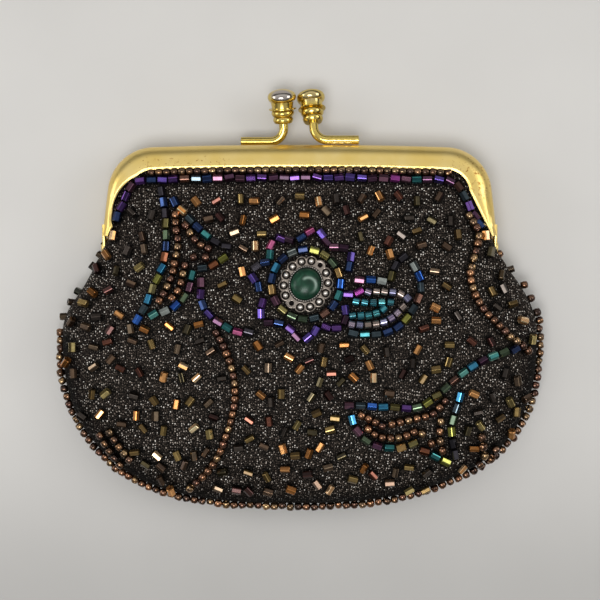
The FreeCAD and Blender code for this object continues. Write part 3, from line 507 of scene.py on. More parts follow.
def stem_path(half):
    """The wire's line: the soldered run, an arc of the bend radius and the post."""
    run, bend, foot, axis = clasp_places(half)
    back = unit(run - bend)
    turn = np.pi - np.arccos(back @ axis)
    reach = bend_radius * np.tan(turn / 2)
    start, end = bend + back * reach, bend + axis * reach
    inward = unit(back + axis)
    across = unit(axis - back)
    angle = np.linspace(-turn / 2, turn / 2, 20)[:, None]
    arc = bend + inward * bend_radius * (1 / np.cos(turn / 2) - np.cos(angle))
    arc = arc + across * bend_radius * np.sin(angle)
    run_line = run + (start - run) * np.array([0, 0.002, 0.015, 0.04, 0.4, 0.8])[:, None]
    post = end + (foot + axis * post_in_knob - end) * np.array([0.25, 0.6, 0.995, 1])[:, None]
    return np.concatenate([run_line, arc, post])


# Soft solder, wiped and plated over: paler, duller and lumpy beside the wire
solder, tree = blank_material("plated solder")
lumps = grain(tree, 0.8, 3.0)
wiped = add(tree, "Bump", {"Height": lumps, "Strength": 0.5, "Distance": 0.0003})
surface(tree, {"Base Color": toned(tree, lumps, (0.35, "#b89a52"), (0.65, "#e0c987")), "Metallic": 1.0,
               "Roughness": 0.42, "Normal": wiped})


def kept_value(tree, name, output="Fac"):
    """A value or colour that is kept on the piece under that name."""
    return add(tree, "Attribute", attribute_name=name).outputs[output]


# Polished gold plate on drawn and turned wire: brighter and smoother than the stamped frame, and rubbed
# through to the grey nickel under it where a thumb presses the knobs
bright_gold, tree = blank_material("polished gold plate")
marks = grain(tree, 0.5, 4.0)
polish = add(tree, "Bump", {"Height": marks, "Strength": 0.05, "Distance": 0.0001})
dull = toned(tree, marks, (0.3, "#cbaf54"), (0.7, "#dec878"))
surface(tree, {"Base Color": mixed(tree, kept_value(tree, "thumbed"), dull, "#b4aca6"), "Metallic": 1.0,
               "Roughness": ranged(tree, marks, 0.1, 0.24), "Normal": polish})

for half, node in ((FRONT, "right_clasp_stem"), (BACK, "left_clasp_stem")):
    path = stem_path(half)
    radii = np.full(len(path), wire_radius)
    radii[[0, -1]] = 0
    radii[1] = wire_radius - wire_chamfer
    settled(piece("bent_" + node, *tube(path, radii, 20), bright_gold), "brass", body_of[half], node)
    run, bend, _, _ = clasp_places(half)
    share = np.linspace(0.06, 0.8, 40)
    seam_line = run + (bend - run) * share[:, None] + solder_offset * [1, 1, half]
    lumpy = 1 + 0.16 * np.sin(share * 37)
    seam_radius = solder_radius * np.sin(np.pi * np.linspace(0, 1, 40)) ** 0.3 * lumpy
    settled(piece(node + "_solder", *tube(seam_line, seam_radius, 12), solder), "brass", body_of[half])

# Clasp knobs
# Turned brass knobs pressed on the posts: two round ribs, a thin flange, a neck and a domed button cap.

rib_groove = 0.35
flange_radius = 3.25
flange_edge = 0.08
neck_radius = 2.5
cap_radius = 3.35
thumb_reach = (2.6, 1.5)
half_turn = np.linspace(0, np.pi, 13)
knob_profile = [(0, 0.05), (wire_radius + 0.05, 0)]
for k, radius in enumerate(rib_radii):
    bulge = radius - rib_groove + rib_groove * np.sin(half_turn)
    knob_profile += list(zip(bulge, (k + half_turn / np.pi) * rib_height))
flange_radii = (flange_radius - flange_edge, flange_radius, flange_radius, flange_radius - flange_edge)
knob_profile += list(zip(flange_radii, flange_foot + flange_height * np.arange(4) / 3))
knob_profile += [(neck_radius, flange_foot + flange_height + rise) for rise in (0.02, 0.2)]
side_turn = np.linspace(-cap_turn, cap_turn, 15)
knob_profile += list(zip(cap_radius - cap_round * (1 - np.cos(side_turn)),
                         knob_foot_to_cap + cap_round * np.sin(side_turn)))
dome_radius = (cap_radius - cap_round * (1 - np.cos(cap_turn))) / np.cos(cap_turn)
dome_turn = np.linspace(np.pi / 2 - cap_turn, 0, 10)[1:]
dome_foot = knob_foot_to_cap + cap_round * np.sin(cap_turn) - dome_radius * np.sin(cap_turn)
knob_profile += list(zip(dome_radius * np.sin(dome_turn), dome_foot + dome_radius * np.cos(dome_turn)))


def points_of(made):
    """The points of a made piece, in mm."""
    flat = np.empty(3 * len(made.data.vertices), np.float32)
    made.data.vertices.foreach_get("co", flat)
    return flat.reshape(-1, 3) * 1000


def marked(made, name, values):
    """Keeps a value at each point of a piece, for its material to read."""
    layer = made.data.attributes.new(name, "FLOAT", "POINT")
    layer.data.foreach_set("value", np.ascontiguousarray(values, np.float32))


for half, node, wear in ((FRONT, "right_clasp_knob", 0.35), (BACK, "left_clasp_knob", 1.0)):
    _, _, foot, axis = clasp_places(half)
    made = piece("turned_" + node, *revolved(knob_profile, foot, axis, 64), bright_gold)
    aside, along, above = (points_of(made) - foot - axis * knob_foot_to_cap).T
    face = np.clip(3.5 - 3.2 * np.hypot(aside / thumb_reach[0], along / thumb_reach[1]), 0, 1) * (above > 0)
    marked(made, "thumbed", wear * face)
    settled(made, "brass_turned", body_of[half], node)

# Packing cords
# Twisted paper cord pushed into each channel behind the cloth, where it holds the cloth in the frame.

cord_radius = 0.4
cord_inset = 1.08
cord_height = 1.3
cord_sides = 10
cord_end_share = 0.66
strand_count = 3
strand_twist = 2.2

# Twisted kraft paper: dull straw brown, a little uneven
kraft, tree = blank_material("twisted kraft paper")
surface(tree, {"Base Color": toned(tree, grain(tree, 0.6, 4.0), (0.3, "#8a6a44"), (0.7, "#b3946a")),
               "Roughness": 0.85})

edge_places, edge_outs, edge_share = frame_edge(90)
cord_line = (edge_places - edge_outs * cord_inset)[edge_share < cord_end_share]
cord_run = np.cumsum(np.r_[0, np.linalg.norm(np.diff(cord_line, axis=0), axis=1)])
cord_angle = 2 * np.pi * np.arange(cord_sides) / cord_sides
strands = np.cos(strand_count * cord_angle[None] - strand_twist * cord_run[:, None])
cord_radii = cord_radius * (0.9 + 0.1 * strands)
cord_radii[[0, -1]] = 0
for half, node in ((FRONT, "front_packing_cord"), (BACK, "back_packing_cord")):
    line = np.concatenate([cord_line, np.full((len(cord_line), 1), seam_z + half * cord_height)], 1)
    made = piece("twisted_" + node, *tube(line, cord_radii, cord_sides), kraft)
    settled(made, "paper_cord", body_of[half], node)

# Front cloth
# One panel of black knit with a silver lurex thread, tucked in the front channel, eased over a full
# belly and sewn to the back cloth round its foot.

bag_half_width = 55.9
hip_y = -7.5
bottom_y = -47.75
bottom_roundness = 2.62
shoulder_y = 11.0
shoulder_half_width = 46.3
belly_y = -12.0
belly_roundness = 2.2
front_crown = 10.2
cloth_top_y = frame_top_y - 3.0
lip_y = frame_top_y - band_width
height_at_lip = 4.2
height_over_hinge = 2.9
cloth_edge_inset = 1.6
height_in_channel = 1.0
height_at_foot = 0.6
height_at_seam = 0.03
seam_end_y = 7.0
fold_foot_y = -20
fold_top_y = 25
fold_rise_at_seam = 27.5
fold_drop_at_seam = 9.5
bottom_skew = 1.7
left_tuck = 1.2
tuck_y = 3
tuck_spread = 5
foot_hem = 0.05
cloth_thickness = 0.6


def smooth(value, low, high):
    """0 below low, 1 above high and an even S between them."""
    t = np.clip((value - low) / (high - low), 0, 1)
    return t * t * (3 - 2 * t)


def frame_half_width_at(y, inset):
    """Half width of the frame's outside edge at y, set in by inset: its arm, then its round corner."""
    arm = frame_half_width - (y - hinge_y) * np.tan(arm_flare) - inset / np.cos(arm_flare)
    rise = (corner_radius - inset) ** 2 - (y - corner_middle[1]) ** 2
    corner = corner_middle[0] + np.sqrt(np.maximum(rise, 0))
    return np.where(y <= corner_middle[1] + np.sin(arm_flare) * (corner_radius - inset), arm, corner)


def cloth_half_width(y):
    """Half width of the sewn outline: inside the frame, a round shoulder, then a superellipse foot."""
    y = np.asarray(y, float)
    inside = frame_half_width_at(np.maximum(y, arm_foot_y), cloth_edge_inset)
    neck = shoulder_half_width + (inside - shoulder_half_width) * smooth(y, shoulder_y, arm_foot_y)
    swell = np.sin(np.pi / 2 * np.clip((shoulder_y - y) / (shoulder_y - hip_y), 0, 1))
    shoulder = shoulder_half_width + (bag_half_width - shoulder_half_width) * swell
    fall = np.clip((hip_y - y) / (hip_y - bottom_y), 0, 1)
    foot = bag_half_width * (1 - fall**bottom_roundness) ** (1 / bottom_roundness)
    return np.select([y >= arm_foot_y, y > shoulder_y, y > hip_y], [inside, neck, shoulder], foot)


def crown_height(y, belly):
    """Height of a panel along its middle: from the lip over the belly, then a superellipse to the foot."""
    rise = np.sin(np.pi / 2 * np.clip((lip_y - y) / (lip_y - belly_y), 0, 1))
    upper = height_at_lip + (belly - height_at_lip) * rise
    fall = np.clip((belly_y - y) / (belly_y - bottom_y), 0, 1)
    lower = np.maximum(belly * (1 - fall**belly_roundness) ** (1 / belly_roundness), height_at_foot)
    return np.where(y > belly_y, upper, lower)


def side_height(y):
    """Height of a panel's side edge: in the channel, over the hinge, then down to the sewn seam."""
    into_channel = smooth(y, arm_foot_y, arm_foot_y + 3)
    in_frame = height_over_hinge + (height_in_channel - height_over_hinge) * into_channel
    return height_at_seam + in_frame * smooth(y, seam_end_y, hinge_y - 3)


arch_turn = np.linspace(0, 1, 240)
arch_reach = (1 - arch_turn) ** 2 * (1 + 2 * arch_turn) + 2.1 * (1 - arch_turn) * arch_turn**2
arch_rise = 2.4 * (1 - arch_turn) ** 2 * arch_turn + 3 * (1 - arch_turn) * arch_turn**2 + arch_turn**3


def eased_folds(x, y):
    """Soft unevenness of the cloth: slow dents over the belly and short pulls under the lip, in mm."""
    dents = 0.32 * np.sin(0.105 * x + 0.06 * y + 0.8) * np.sin(0.085 * y - 0.05 * x + 2.0)
    pulls = 0.16 * np.sin(0.62 * x + 0.9 * np.sin(0.05 * x)) * smooth(y, 4, 24) * (1 - smooth(y, 27, 30))
    creases = 0.3 * np.sin(0.21 * x + 0.3 * y + 1.0) * smooth(-y, 24, 42)
    return dents + pulls + creases


def panel_height(x, y, belly):
    """Height of a panel's outside: the arch over its half width, between its side and its crown."""
    share = np.clip(np.abs(x) / cloth_half_width(y), 0, 1)
    arch = np.interp(share, arch_reach[::-1], arch_rise[::-1])
    side = side_height(y)
    return side + (crown_height(y, belly) - side) * arch


def front_height(x, y):
    """The front cloth's height: its panel with the eased folds, which die out at the sides."""
    share = np.clip(np.abs(x) / cloth_half_width(y), 0, 1)
    return panel_height(x, y, front_crown) + eased_folds(x, y) * (1 - share**6)


def skewed(points):
    """The foot of the bag hangs a little to the left and its left shoulder is drawn in, as sewn."""
    moved = np.array(points)
    moved[..., 0] -= bottom_skew * smooth(-moved[..., 1], 33, 48)
    tucked = np.exp(-(((moved[..., 1] - tuck_y) / tuck_spread) ** 2))
    moved[..., 0] += left_tuck * smooth(-moved[..., 0], 30, 48) * tucked
    return moved


def cloth_grid(height, inset, rows, columns):
    """A panel as a grid of points: rows from the top edge to the foot, columns from side to side."""
    in_frame = np.linspace(cloth_top_y, arm_foot_y, rows[0], endpoint=False)
    shoulder = np.linspace(arm_foot_y, hip_y, rows[1], endpoint=False)
    foot_end = bottom_y + foot_hem + inset
    foot = hip_y + (foot_end - hip_y) * np.sin(np.pi / 2 * np.linspace(0, 1, rows[2]))
    y = np.concatenate([in_frame, shoulder, foot])[:, None]
    reach = np.interp(np.linspace(0, 1, columns), arch_turn, arch_reach)
    reach = np.concatenate([-reach, reach[-2::-1]])
    x = (cloth_half_width(y) - inset) * reach
    y = np.broadcast_to(y, x.shape)
    return np.stack([x, y, height(x, y)], -1)


def cloth_panel(name, height, side, material, thickness, inset=0, rows=(38, 40, 84), columns=90):
    """A cloth object on one side of the seam, skewed as sewn, with UVs in mm of cloth and a thickness
    inward. Also gives the places of its points before the skew."""
    points = cloth_grid(height, inset, rows, columns)
    flat = points[..., :2]
    points = skewed(points)
    points[..., 2] = seam_z + side * points[..., 2]
    faces = grid_faces(*points.shape[:2])[:, ::side]
    mesh = bpy.data.meshes.new(name)
    mesh.from_pydata((points.reshape(-1, 3) * mm).tolist(), [], faces.tolist())
    middle = points.shape[1] // 2
    across = np.cumsum(np.linalg.norm(np.diff(points, axis=1, prepend=points[:, :1]), axis=2), axis=1)
    across -= across[:, middle][:, None]
    down = np.cumsum(np.linalg.norm(np.diff(points[:, middle], axis=0), axis=1))
    down = np.broadcast_to(np.r_[0, down][:, None], across.shape)
    chart = np.stack([across, down], -1).reshape(-1, 2)
    mesh.uv_layers.new(name="cloth_mm").data.foreach_set("uv", chart[faces.ravel()].ravel())
    mesh.shade_smooth()
    mesh.materials.append(material)
    made = placed(name, mesh)
    wall = made.modifiers.new("thickness", "SOLIDIFY")
    wall.thickness = thickness * mm
    wall.offset = -1
    return made, flat


def opening_share(x, y):
    """How far a place on the front follows the opening frame: none on the belly, all at the lip,
    and beside a seam only above the seam's end."""
    side = np.clip(np.abs(x) / cloth_half_width(y), 0, 1) ** 3
    return smooth(y, fold_foot_y + fold_rise_at_seam * side, fold_top_y - fold_drop_at_seam * side)


def bends(made, share):
    """Bakes a front piece's transform into its points; the share is not used."""
    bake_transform(made)


# Lurex knit: a dark woolly ground with a fleck of silver thread on most stitches, about 0.6 mm apart, each
# with a painted glint, brighter or duller at random. Painted shade makes the knit near black round a sewn
# bead and by the seam.
lurex, tree = blank_material("black lurex knit")
chart = add(tree, "UVMap", uv_map="cloth_mm")
stitches = add(tree, "Mapping", {"Vector": chart, "Scale": (1 / 0.52, 1 / 0.56, 1)})
stitch = add(tree, "TexVoronoi", {"Vector": stitches, "Scale": 1.0, "Randomness": 0.9},
             voronoi_dimensions="2D")
luck = add(tree, "SeparateColor", {"Color": stitch.outputs["Color"]})
# Silver thread flecks: the flecks are the thread, and the random brightness of each, dull to white, is a
# painted glint
glint_size = ranged(tree, luck.outputs["Green"], 0.16, 0.4)
glint = ranged(tree, stitch.outputs["Distance"], 0.0, 1.0, glint_size, 0.12)
fleck_and_painted_glint = toned(tree, luck.outputs["Red"], (0.0, "#1a1613"), (0.4, "#4a423b"), (0.66, "#7e736a"),
              (0.86, "#c0b6ab"), (1.0, "#fffaf2"))
wool = add(tree, "TexNoise", {"Vector": chart, "Scale": 1 / 0.36, "Detail": 2.0, "Roughness": 0.6})
yarn = toned(tree, wool, (0.4, "#010101"), (0.55, "#1c1815"), (0.72, "#4c423b"))
relief = add(tree, "Bump", {"Height": stitch.outputs["Distance"], "Strength": 0.5, "Distance": 0.0002},
             invert=True)
# The knit's colour, darkened to near black by painted shade round the beads and at the seam
pressed = mixed(tree, kept_value(tree, "painted_knit_shade"), mixed(tree, glint, yarn, fleck_and_painted_glint), "#020202")
surface(tree, {"Base Color": pressed, "Roughness": 0.6, "Specular IOR Level": 0.05, "Normal": relief})

front_cloth, front_flat = cloth_panel("front_cloth", front_height, FRONT, lurex, cloth_thickness)
bends(front_cloth, opening_share(*front_flat.reshape(-1, 2).T))
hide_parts("front_panel_yoke", "front_panel_fold", "front_panel_pouch")

# Back cloth
# The same knit on the back, flattened where the purse lies on it, so that its beads touch the table.

back_crown = 7.0
back_fullness = 0.96
back_rest_height = 4.65
rest_softness = 0.5


def back_height(x, y):
    """The back cloth's height: its panel pressed flat, with a soft turn into the flat."""
    height = panel_height(x, y, back_crown) * back_fullness
    return -rest_softness * np.logaddexp(-height / rest_softness, -back_rest_height / rest_softness)


back_cloth, _ = cloth_panel("back_cloth", back_height, BACK, lurex, cloth_thickness)
settled(back_cloth, "cloth", "bag", "back_panel")

# Linings
# A black satin lining inside each panel, sewn in round the foot and tucked in the channel with the cloth.

lining_inset = 1.5
lining_thickness = 0.25
lining_parting = 0.05
lining_ease = 0.35
lining_grid = {"inset": lining_inset, "rows": (16, 18, 34), "columns": 36}

# Acetate satin: near black with a soft broken sheen along fine threads, drawn coarser than real to show
satin_lining, tree = blank_material("black acetate satin")
chart = add(tree, "UVMap", uv_map="cloth_mm")
threads = add(tree, "Mapping", {"Vector": chart, "Scale": (1 / 0.25, 1 / 2.5, 1)})
slub = add(tree, "TexNoise", {"Vector": threads, "Scale": 1.0, "Detail": 3.0})
weave = add(tree, "Bump", {"Height": slub, "Strength": 0.3, "Distance": 0.0001})
surface(tree, {"Base Color": toned(tree, slub, (0.3, "#151316"), (0.7, "#2a272c")), "Roughness": 0.36,
               "Sheen Weight": 0.25, "Normal": weave})


def lining_height(cover):
    """A lining's height under its cover: set in, and never past the parting plane."""
    def height(x, y):
        lowest = lining_parting + lining_ease * smooth(y, seam_end_y, hinge_y)
        return np.maximum(cover(x, y) - lining_inset, lowest)
    return height


front_lining, lining_flat = cloth_panel("satin_front_lining", lining_height(front_height), FRONT,
                                        satin_lining, lining_thickness, **lining_grid)
bends(front_lining, opening_share(*lining_flat.reshape(-1, 2).T))
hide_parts("front_lining")

back_lining, _ = cloth_panel("satin_back_lining", lining_height(back_height), BACK, satin_lining,
                             lining_thickness, **lining_grid)
settled(back_lining, "lining", "bag", "back_lining")

# Lip trim
# Beside each lip of the frame, a row of round bronze seed beads and under it a row of six-sided bugle
# beads, each bead sewn down with thread through its hole. All the beads are coated glass.

seed_radius = 0.88
seed_length = 1.7
seed_hole = 0.3
seed_pitch = 1.74
bugle_radius = 0.8
bugle_girth = 0.93
bugle_length = 2.2
bugle_pitch = 2.5
bugle_hole = 0.36
bead_gap = 0.12
lip_row_gap = -0.25
lip_lift = 0.15
row_turn = 3.0
left_turn_inset = 6.2
walk_step = 0.3
slope_step = 0.25
hue_middle = 0.4
hue_spread = 0.45
bevel_painted_highlight = 0.8
shade_range = (0.75, 1.15)
steepest = 5
left_row_end = (4.6, 3.6)
right_row_end = 0.8


def bead_shape(profile, sides, sharp, bevel=0.0):
    """A bead along X: a closed profile of place and radius swept round, its quads, the side of each point
    and the angle in degrees from which its edges show. A bevel cuts every corner back by an angle each way."""
    along, radius = np.asarray(profile, float).T
    corners = 2 * np.pi * (np.arange(sides) + 0.5) / sides
    angle = np.stack([corners - bevel, corners + bevel], -1).ravel() if bevel else corners
    count = len(angle)
    points = np.stack([np.broadcast_to(along[:, None], (len(along), count)),
                       radius[:, None] * np.cos(angle), radius[:, None] * np.sin(angle)], -1)
    faces = grid_faces(len(along), count, round_rows=True, round_columns=True)
    return points.reshape(-1, 3), faces, np.tile(np.arange(count), len(along)), sharp


def both_ends(profile):
    """A bead's whole profile from the one at its far end, which runs from the hole outward."""
    return [(-place, radius) for place, radius in profile] + profile[::-1]


bugle_end = bugle_length / 2
bugle_bead = bead_shape(both_ends([(bugle_end, bugle_hole), (bugle_end, bugle_girth - 0.1),
                                   (bugle_end - 0.08, bugle_girth)]), 6, 20, np.radians(6))
swell = 2 * np.pi * np.arange(8) / 8
seed_wall = (seed_radius - seed_hole) / 2
seed_bead = bead_shape(list(zip(-seed_length / 2 * np.cos(swell),
                                seed_hole + seed_wall + seed_wall * np.sin(swell))), 11, 180)


def seated(places, lift, side):
    """Bead centres standing off the cloth by lift, and the way out of the cloth at each."""
    height = front_height if side == FRONT else back_height
    x, y = places.T
    step = slope_step
    slope_x = (height(x + step, y) - height(x - step, y)) / (2 * step)
    slope_y = (height(x, y + step) - height(x, y - step)) / (2 * step)
    slopes = np.clip([slope_x, slope_y], -steepest, steepest)
    out = unit(np.stack([*-slopes, np.ones_like(x)], -1))
    centres = np.stack([x, y, height(x, y)], -1) + out * lift
    centres[:, 2] = seam_z + side * centres[:, 2]
    out[:, 2] *= side
    return skewed(centres), out


def bead_copies(shape, centres, along, out, spin, girth):
    """Points of all the copies: a bead's X along its row, its Z out of the cloth, then spun on its own axis,
    and thicker or thinner by its girth."""
    ahead = unit(along - np.sum(along * out, 1)[:, None] * out)
    across = np.cross(out, ahead)
    c, s = np.cos(spin)[:, None], np.sin(spin)[:, None]
    axes = np.stack([ahead, across * c + out * s, out * c - across * s], -1)
    axes[..., 1:] *= girth[:, None, None]
    return centres[:, None] + np.einsum("kij,vj->kvi", axes, shape)


def bead_colours(pairs, count, sides, chance, painted_edge_highlight):
    """A colour for each side of each bead, mixed by chance between a pair of hues, with a painted highlight on
    the bevels. The pairs are one for each bead in turn, or a palette to draw from."""
    palette = np.array([[linear(code)[:3] for code in pair] for pair in pairs])
    drawn = palette if len(pairs) == count else palette[chance.integers(len(pairs), size=count)]
    mix = chance.normal(hue_middle, hue_spread, (count, sides))
    # Painted highlight: the bevel strips are pushed toward the lighter hue
    mix[:, ::2] += painted_edge_highlight
    mix = np.clip(mix, 0, 1.3)[..., None]
    shade = chance.uniform(*shade_range, (count, 1, 1))
    return np.clip((drawn[:, :1] * (1 - mix) + drawn[:, 1:] * mix) * shade, 0, 1)


def beads(name, kind, centres, along, out, pairs, glass, seed, wobble=0.06, girth=(0.92, 1.03)):
    """One object of sewn beads, each with its own colours and girth and a little out of line."""
    chance = np.random.default_rng(seed)
    shape, faces, sides, sharp = kind
    count = len(centres)
    spin = chance.uniform(0, 2 * np.pi, count)
    girth = chance.uniform(*girth, count)
    along = along + chance.normal(0, wobble, along.shape)
    out = unit(out + chance.normal(0, wobble, out.shape))
    points = bead_copies(shape, centres, along, out, spin, girth).reshape(-1, 3)
    starts = np.arange(count)[:, None, None] * len(shape)
    made = piece(name, points, (faces + starts).reshape(-1, 4).tolist(), glass, sharp, weld=False)
    painted_edge_highlight = bevel_painted_highlight if kind is bugle_bead else 0
    colours = bead_colours(pairs, count, sides.max() + 1, chance, painted_edge_highlight)[:, sides]
    colours = np.concatenate([colours, np.ones((*colours.shape[:2], 1))], -1)
    layer = made.data.attributes.new("bead_colour", "FLOAT_COLOR", "CORNER")
    layer.data.foreach_set("color", np.repeat(colours.reshape(-1, 4), 4, axis=0).ravel().astype(np.float32))
    return made


def even_walk(line, pitch):
    """Places an even pitch apart along a fine line, and the way along it at each."""
    run = np.r_[0, np.cumsum(np.linalg.norm(np.diff(line, axis=0), axis=1))]
    count = max(int(run[-1] / pitch), 1)
    stops = np.linspace(0, run[-1], count + 1)
    places, before, after = (np.stack([np.interp(stops + step, run, line[:, k]) for k in range(2)], -1)
                             for step in (0, -walk_step, walk_step))
    return places, np.concatenate([after - before, np.zeros((count + 1, 1))], 1)


def bowed(x, y):
    """Places on the bow of the top bar moved down to y at the middle."""
    x = np.asarray(x, float)
    return np.stack([x, y - x**2 / (2 * bow_radius)], -1)


def row_end(turn_x, bar_y, low):
    """A row's line from the bar round its turn and down an arm to the low point."""
    turn = bowed(turn_x, bar_y)
    leaves = bowed(turn_x - np.sign(turn_x) * row_turn, bar_y)
    joins = turn + unit(low - turn) * row_turn
    share = np.linspace(0, 1, 40)[:, None]
    bend = (1 - share) ** 2 * leaves + 2 * share * (1 - share) * turn + share**2 * joins
    return np.concatenate([bend, joins + (low - joins) * share[1:]])


def arch_line(bar_inset, arm_inset):
    """A line on the cloth beside the lip: up the left arm, along the bowed bar and down the right arm."""
    bar_y = lip_y - bar_inset
    top = corner_middle + arm_out * (corner_radius - band_width)
    foot = arm_place(arm_foot_y, foot_band)
    taper = unit(top - foot)
    low = foot + taper * right_row_end + np.array([-taper[1], taper[0]]) * arm_inset
    turn_x = low[0] + taper[0] * (bowed(corner_middle[0], bar_y)[1] - low[1]) / taper[1]
    left_low = arm_place(arm_foot_y + left_row_end[0], left_row_end[1]) * [-1, 1]
    left = row_end(left_turn_inset - corner_middle[0] - corner_radius, bar_y, left_low)[::-1]
    right = row_end(turn_x, bar_y, low)
    bar = bowed(np.linspace(left[-1, 0], right[0, 0], 160), bar_y)
    return np.concatenate([left, bar[1:-1], right])


def coated_glass(name, metallic, roughness, coat, coat_roughness, streaked=False):
    """A bead's glass in the colours kept on its sides, deeper and paler in fine streaks where asked."""
    material, tree = blank_material(name)
    colour = kept_value(tree, "bead_colour", "Color")
    if streaked:
        depth = ranged(tree, grain(tree, 0.7, 2.0), 0.75, 1.1, 0.3, 0.7)
        colour = mixed(tree, 1.0, colour, depth, "MULTIPLY")
    surface(tree, {"Base Color": colour, "Metallic": metallic, "Roughness": roughness, "Coat Weight": coat,
                   "Coat Roughness": coat_roughness})
    return material


# Bronze-coated seed glass: round brown beads with a coppery mirror gloss
bronze_glass = coated_glass("bronze coated seed glass", 0.95, 0.2, 0.4, 0.05)

# Iris-coated bugle glass: flat cut sides, each a slightly different hue of the metal-oxide coat
iris_glass = coated_glass("iris coated bugle glass", 0.85, 0.13, 0.15, 0.04, streaked=True)

bronze_pairs = [("#6a4832", "#a07250"), ("#5c3e2c", "#866044"), ("#4c3228", "#74503e"),
                ("#6e5640", "#a4845c")]
dark_bronze_pairs = [("#4a3226", "#96704f"), ("#3e2a20", "#7a5a3c"), ("#33231c", "#6a4e3c"),
                     ("#4e3c2a", "#9a7e5a")]
glass_hues = {
    "navy": ("#1c2848", "#2f4676"), "royal": ("#1a3f88", "#3468c0"), "sky": ("#1f5f86", "#4aa0c8"),
    "teal": ("#184c54", "#3a8484"), "aqua": ("#3a8484", "#90d8c8"), "slate": ("#2c3840", "#54646c"),
    "smoke": ("#26242a", "#45424a"), "olive": ("#4a4428", "#7f7646"), "lime": ("#62622a", "#a4a450"),
    "moss": ("#3a4838", "#6a7e62"), "tan": ("#6a5230", "#b08e58"), "rust": ("#5a3020", "#945a3c"),
    "cocoa": ("#3a2620", "#64463a"), "plum": ("#2c1a2a", "#50324a"), "mauve": ("#482e3c", "#7c5468"),
    "pink": ("#7a2c5a", "#d06c9c"), "magenta": ("#6a2668", "#b450ac"), "violet": ("#34285c", "#6852ac"),
    "purple": ("#341f50", "#644088"), "pearl": ("#5c6464", "#b4bcb8"), "peach": ("#c88848", "#ffd8a8"),
}
lip_hues = (
    "navy purple purple plum mauve purple navy violet purple plum cocoa slate navy mauve purple plum mauve "
    "purple purple plum violet plum purple plum purple violet plum purple violet violet plum mauve navy "
    "magenta mauve teal plum tan violet plum cocoa slate purple teal plum navy peach")


def thirds(places, ahead):
    """Three places along each bugle, for the painted shade on the cloth beside it."""
    ahead = unit(ahead[:, :2])
    return np.concatenate([places - 0.7 * ahead, places, places + 0.7 * ahead])


def named_hues(names, count):
    """The hues read off along a row of beads, spread evenly over its count."""
    names = names.split()
    return [glass_hues[names[k]] for k in np.linspace(0, len(names) - 1, count).round().astype(int)]


seed_inset = channel_wall / 2 + seed_radius + lip_row_gap
bugle_inset = seed_inset + seed_radius + bugle_radius
seed_line = bowed(np.linspace(-1, 1, 160) * (corner_middle[0] + 0.3), lip_y - seed_inset)
bugle_line = arch_line(bugle_inset, channel_wall / 2 + bugle_radius + 0.65)
seed_places, seed_ahead = even_walk(seed_line, seed_pitch)
bugle_places, bugle_ahead = even_walk(bugle_line, bugle_pitch)
lip_pairs = named_hues(lip_hues, len(bugle_places))
for side, name in ((FRONT, "front"), (BACK, "back")):
    centres, out = seated(seed_places, seed_radius + bead_gap + lip_lift + lip_lift * side, side)
    made = beads(name + "_lip_seeds", seed_bead, centres, seed_ahead, out, dark_bronze_pairs, bronze_glass,
                 11, girth=(1.0, 1.1))
    settled(made, "seed_glass", body_of[side], name + "_lip_seed_beads")
    centres, out = seated(bugle_places, bugle_radius + bead_gap, side)
    made = beads(name + "_lip_bugles", bugle_bead, centres, bugle_ahead, out, lip_pairs, iris_glass,
                 12 + side)
    settled(made, "bugle_glass", body_of[side], name + "_lip_bugle_beads")

lip_rows = {"lip_seeds": seed_places, "lip_bugles": bugle_places}
sewn_rows = dict(lip_rows)
bead_shade_places = [seed_places, thirds(bugle_places, bugle_ahead)]

# Seam edging
# The same bronze seed beads whipped over the sewn edge one by one, from hip to hip round the foot of the
# bag and a little higher on the right, with a few lone seeds and smoky bugles up the side seams.

edge_pitch = 1.88
edge_above_hip = 4.5
lone_seed_y = np.array([0.2, 3.2, 10.6])
seam_bugle_y = np.array([10.4, 7.8, 1.9, -0.5, -3.8, 7.2, 13.0])
seam_bugle_side = np.array([-1, -1, -1, -1, -1, 1, -1])
smoky_pairs = [("#262822", "#4a4c40"), ("#382e26", "#5e5040"), ("#221e1b", "#403830")]


def side_seam(y):
    """Places on the right side seam at y, and the way out of the bag at each."""
    x = cloth_half_width(y)
    out = np.stack([np.full(len(y), walk_step), x - cloth_half_width(y + walk_step)], -1)
    return np.stack([x, y], -1), unit(out)


def raised(flat, heights):
    """Flat places or ways with a height for each."""
    return np.concatenate([flat, np.broadcast_to(heights, (len(flat), 1))], 1)


def upright(count):
    """As many ways straight up."""
    return np.tile([0.0, 0.0, 1.0], (count, 1))


edge_turn = np.linspace(-np.pi / 2, np.pi / 2, 400)
edge_y = hip_y + (bottom_y - hip_y) * np.cos(edge_turn)
edge_line = np.stack([np.sign(edge_turn) * cloth_half_width(edge_y), edge_y], -1)
above_hip, _ = side_seam(np.linspace(hip_y, hip_y + edge_above_hip, 20)[1:])
places, ahead = even_walk(np.concatenate([edge_line, above_hip]), edge_pitch)
out = unit(np.stack([ahead[:, 1], -ahead[:, 0]], -1))
lone_places, lone_out = side_seam(lone_seed_y)
places, out = np.concatenate([places, lone_places]), np.concatenate([out, lone_out])
chance = np.random.default_rng(22)
places = places + out * chance.uniform(0.5, 0.95, (len(places), 1))
centres = skewed(raised(places, seam_z + chance.uniform(-0.2, 0.5, (len(places), 1))))
made = beads("edge_seeds", seed_bead, centres, raised(out, 0.3), upright(len(out)),
             bronze_pairs + dark_bronze_pairs, bronze_glass, 21, wobble=0.25, girth=(1.04, 1.18))
settled(made, "seed_glass", "bag", "edge_seed_beads")

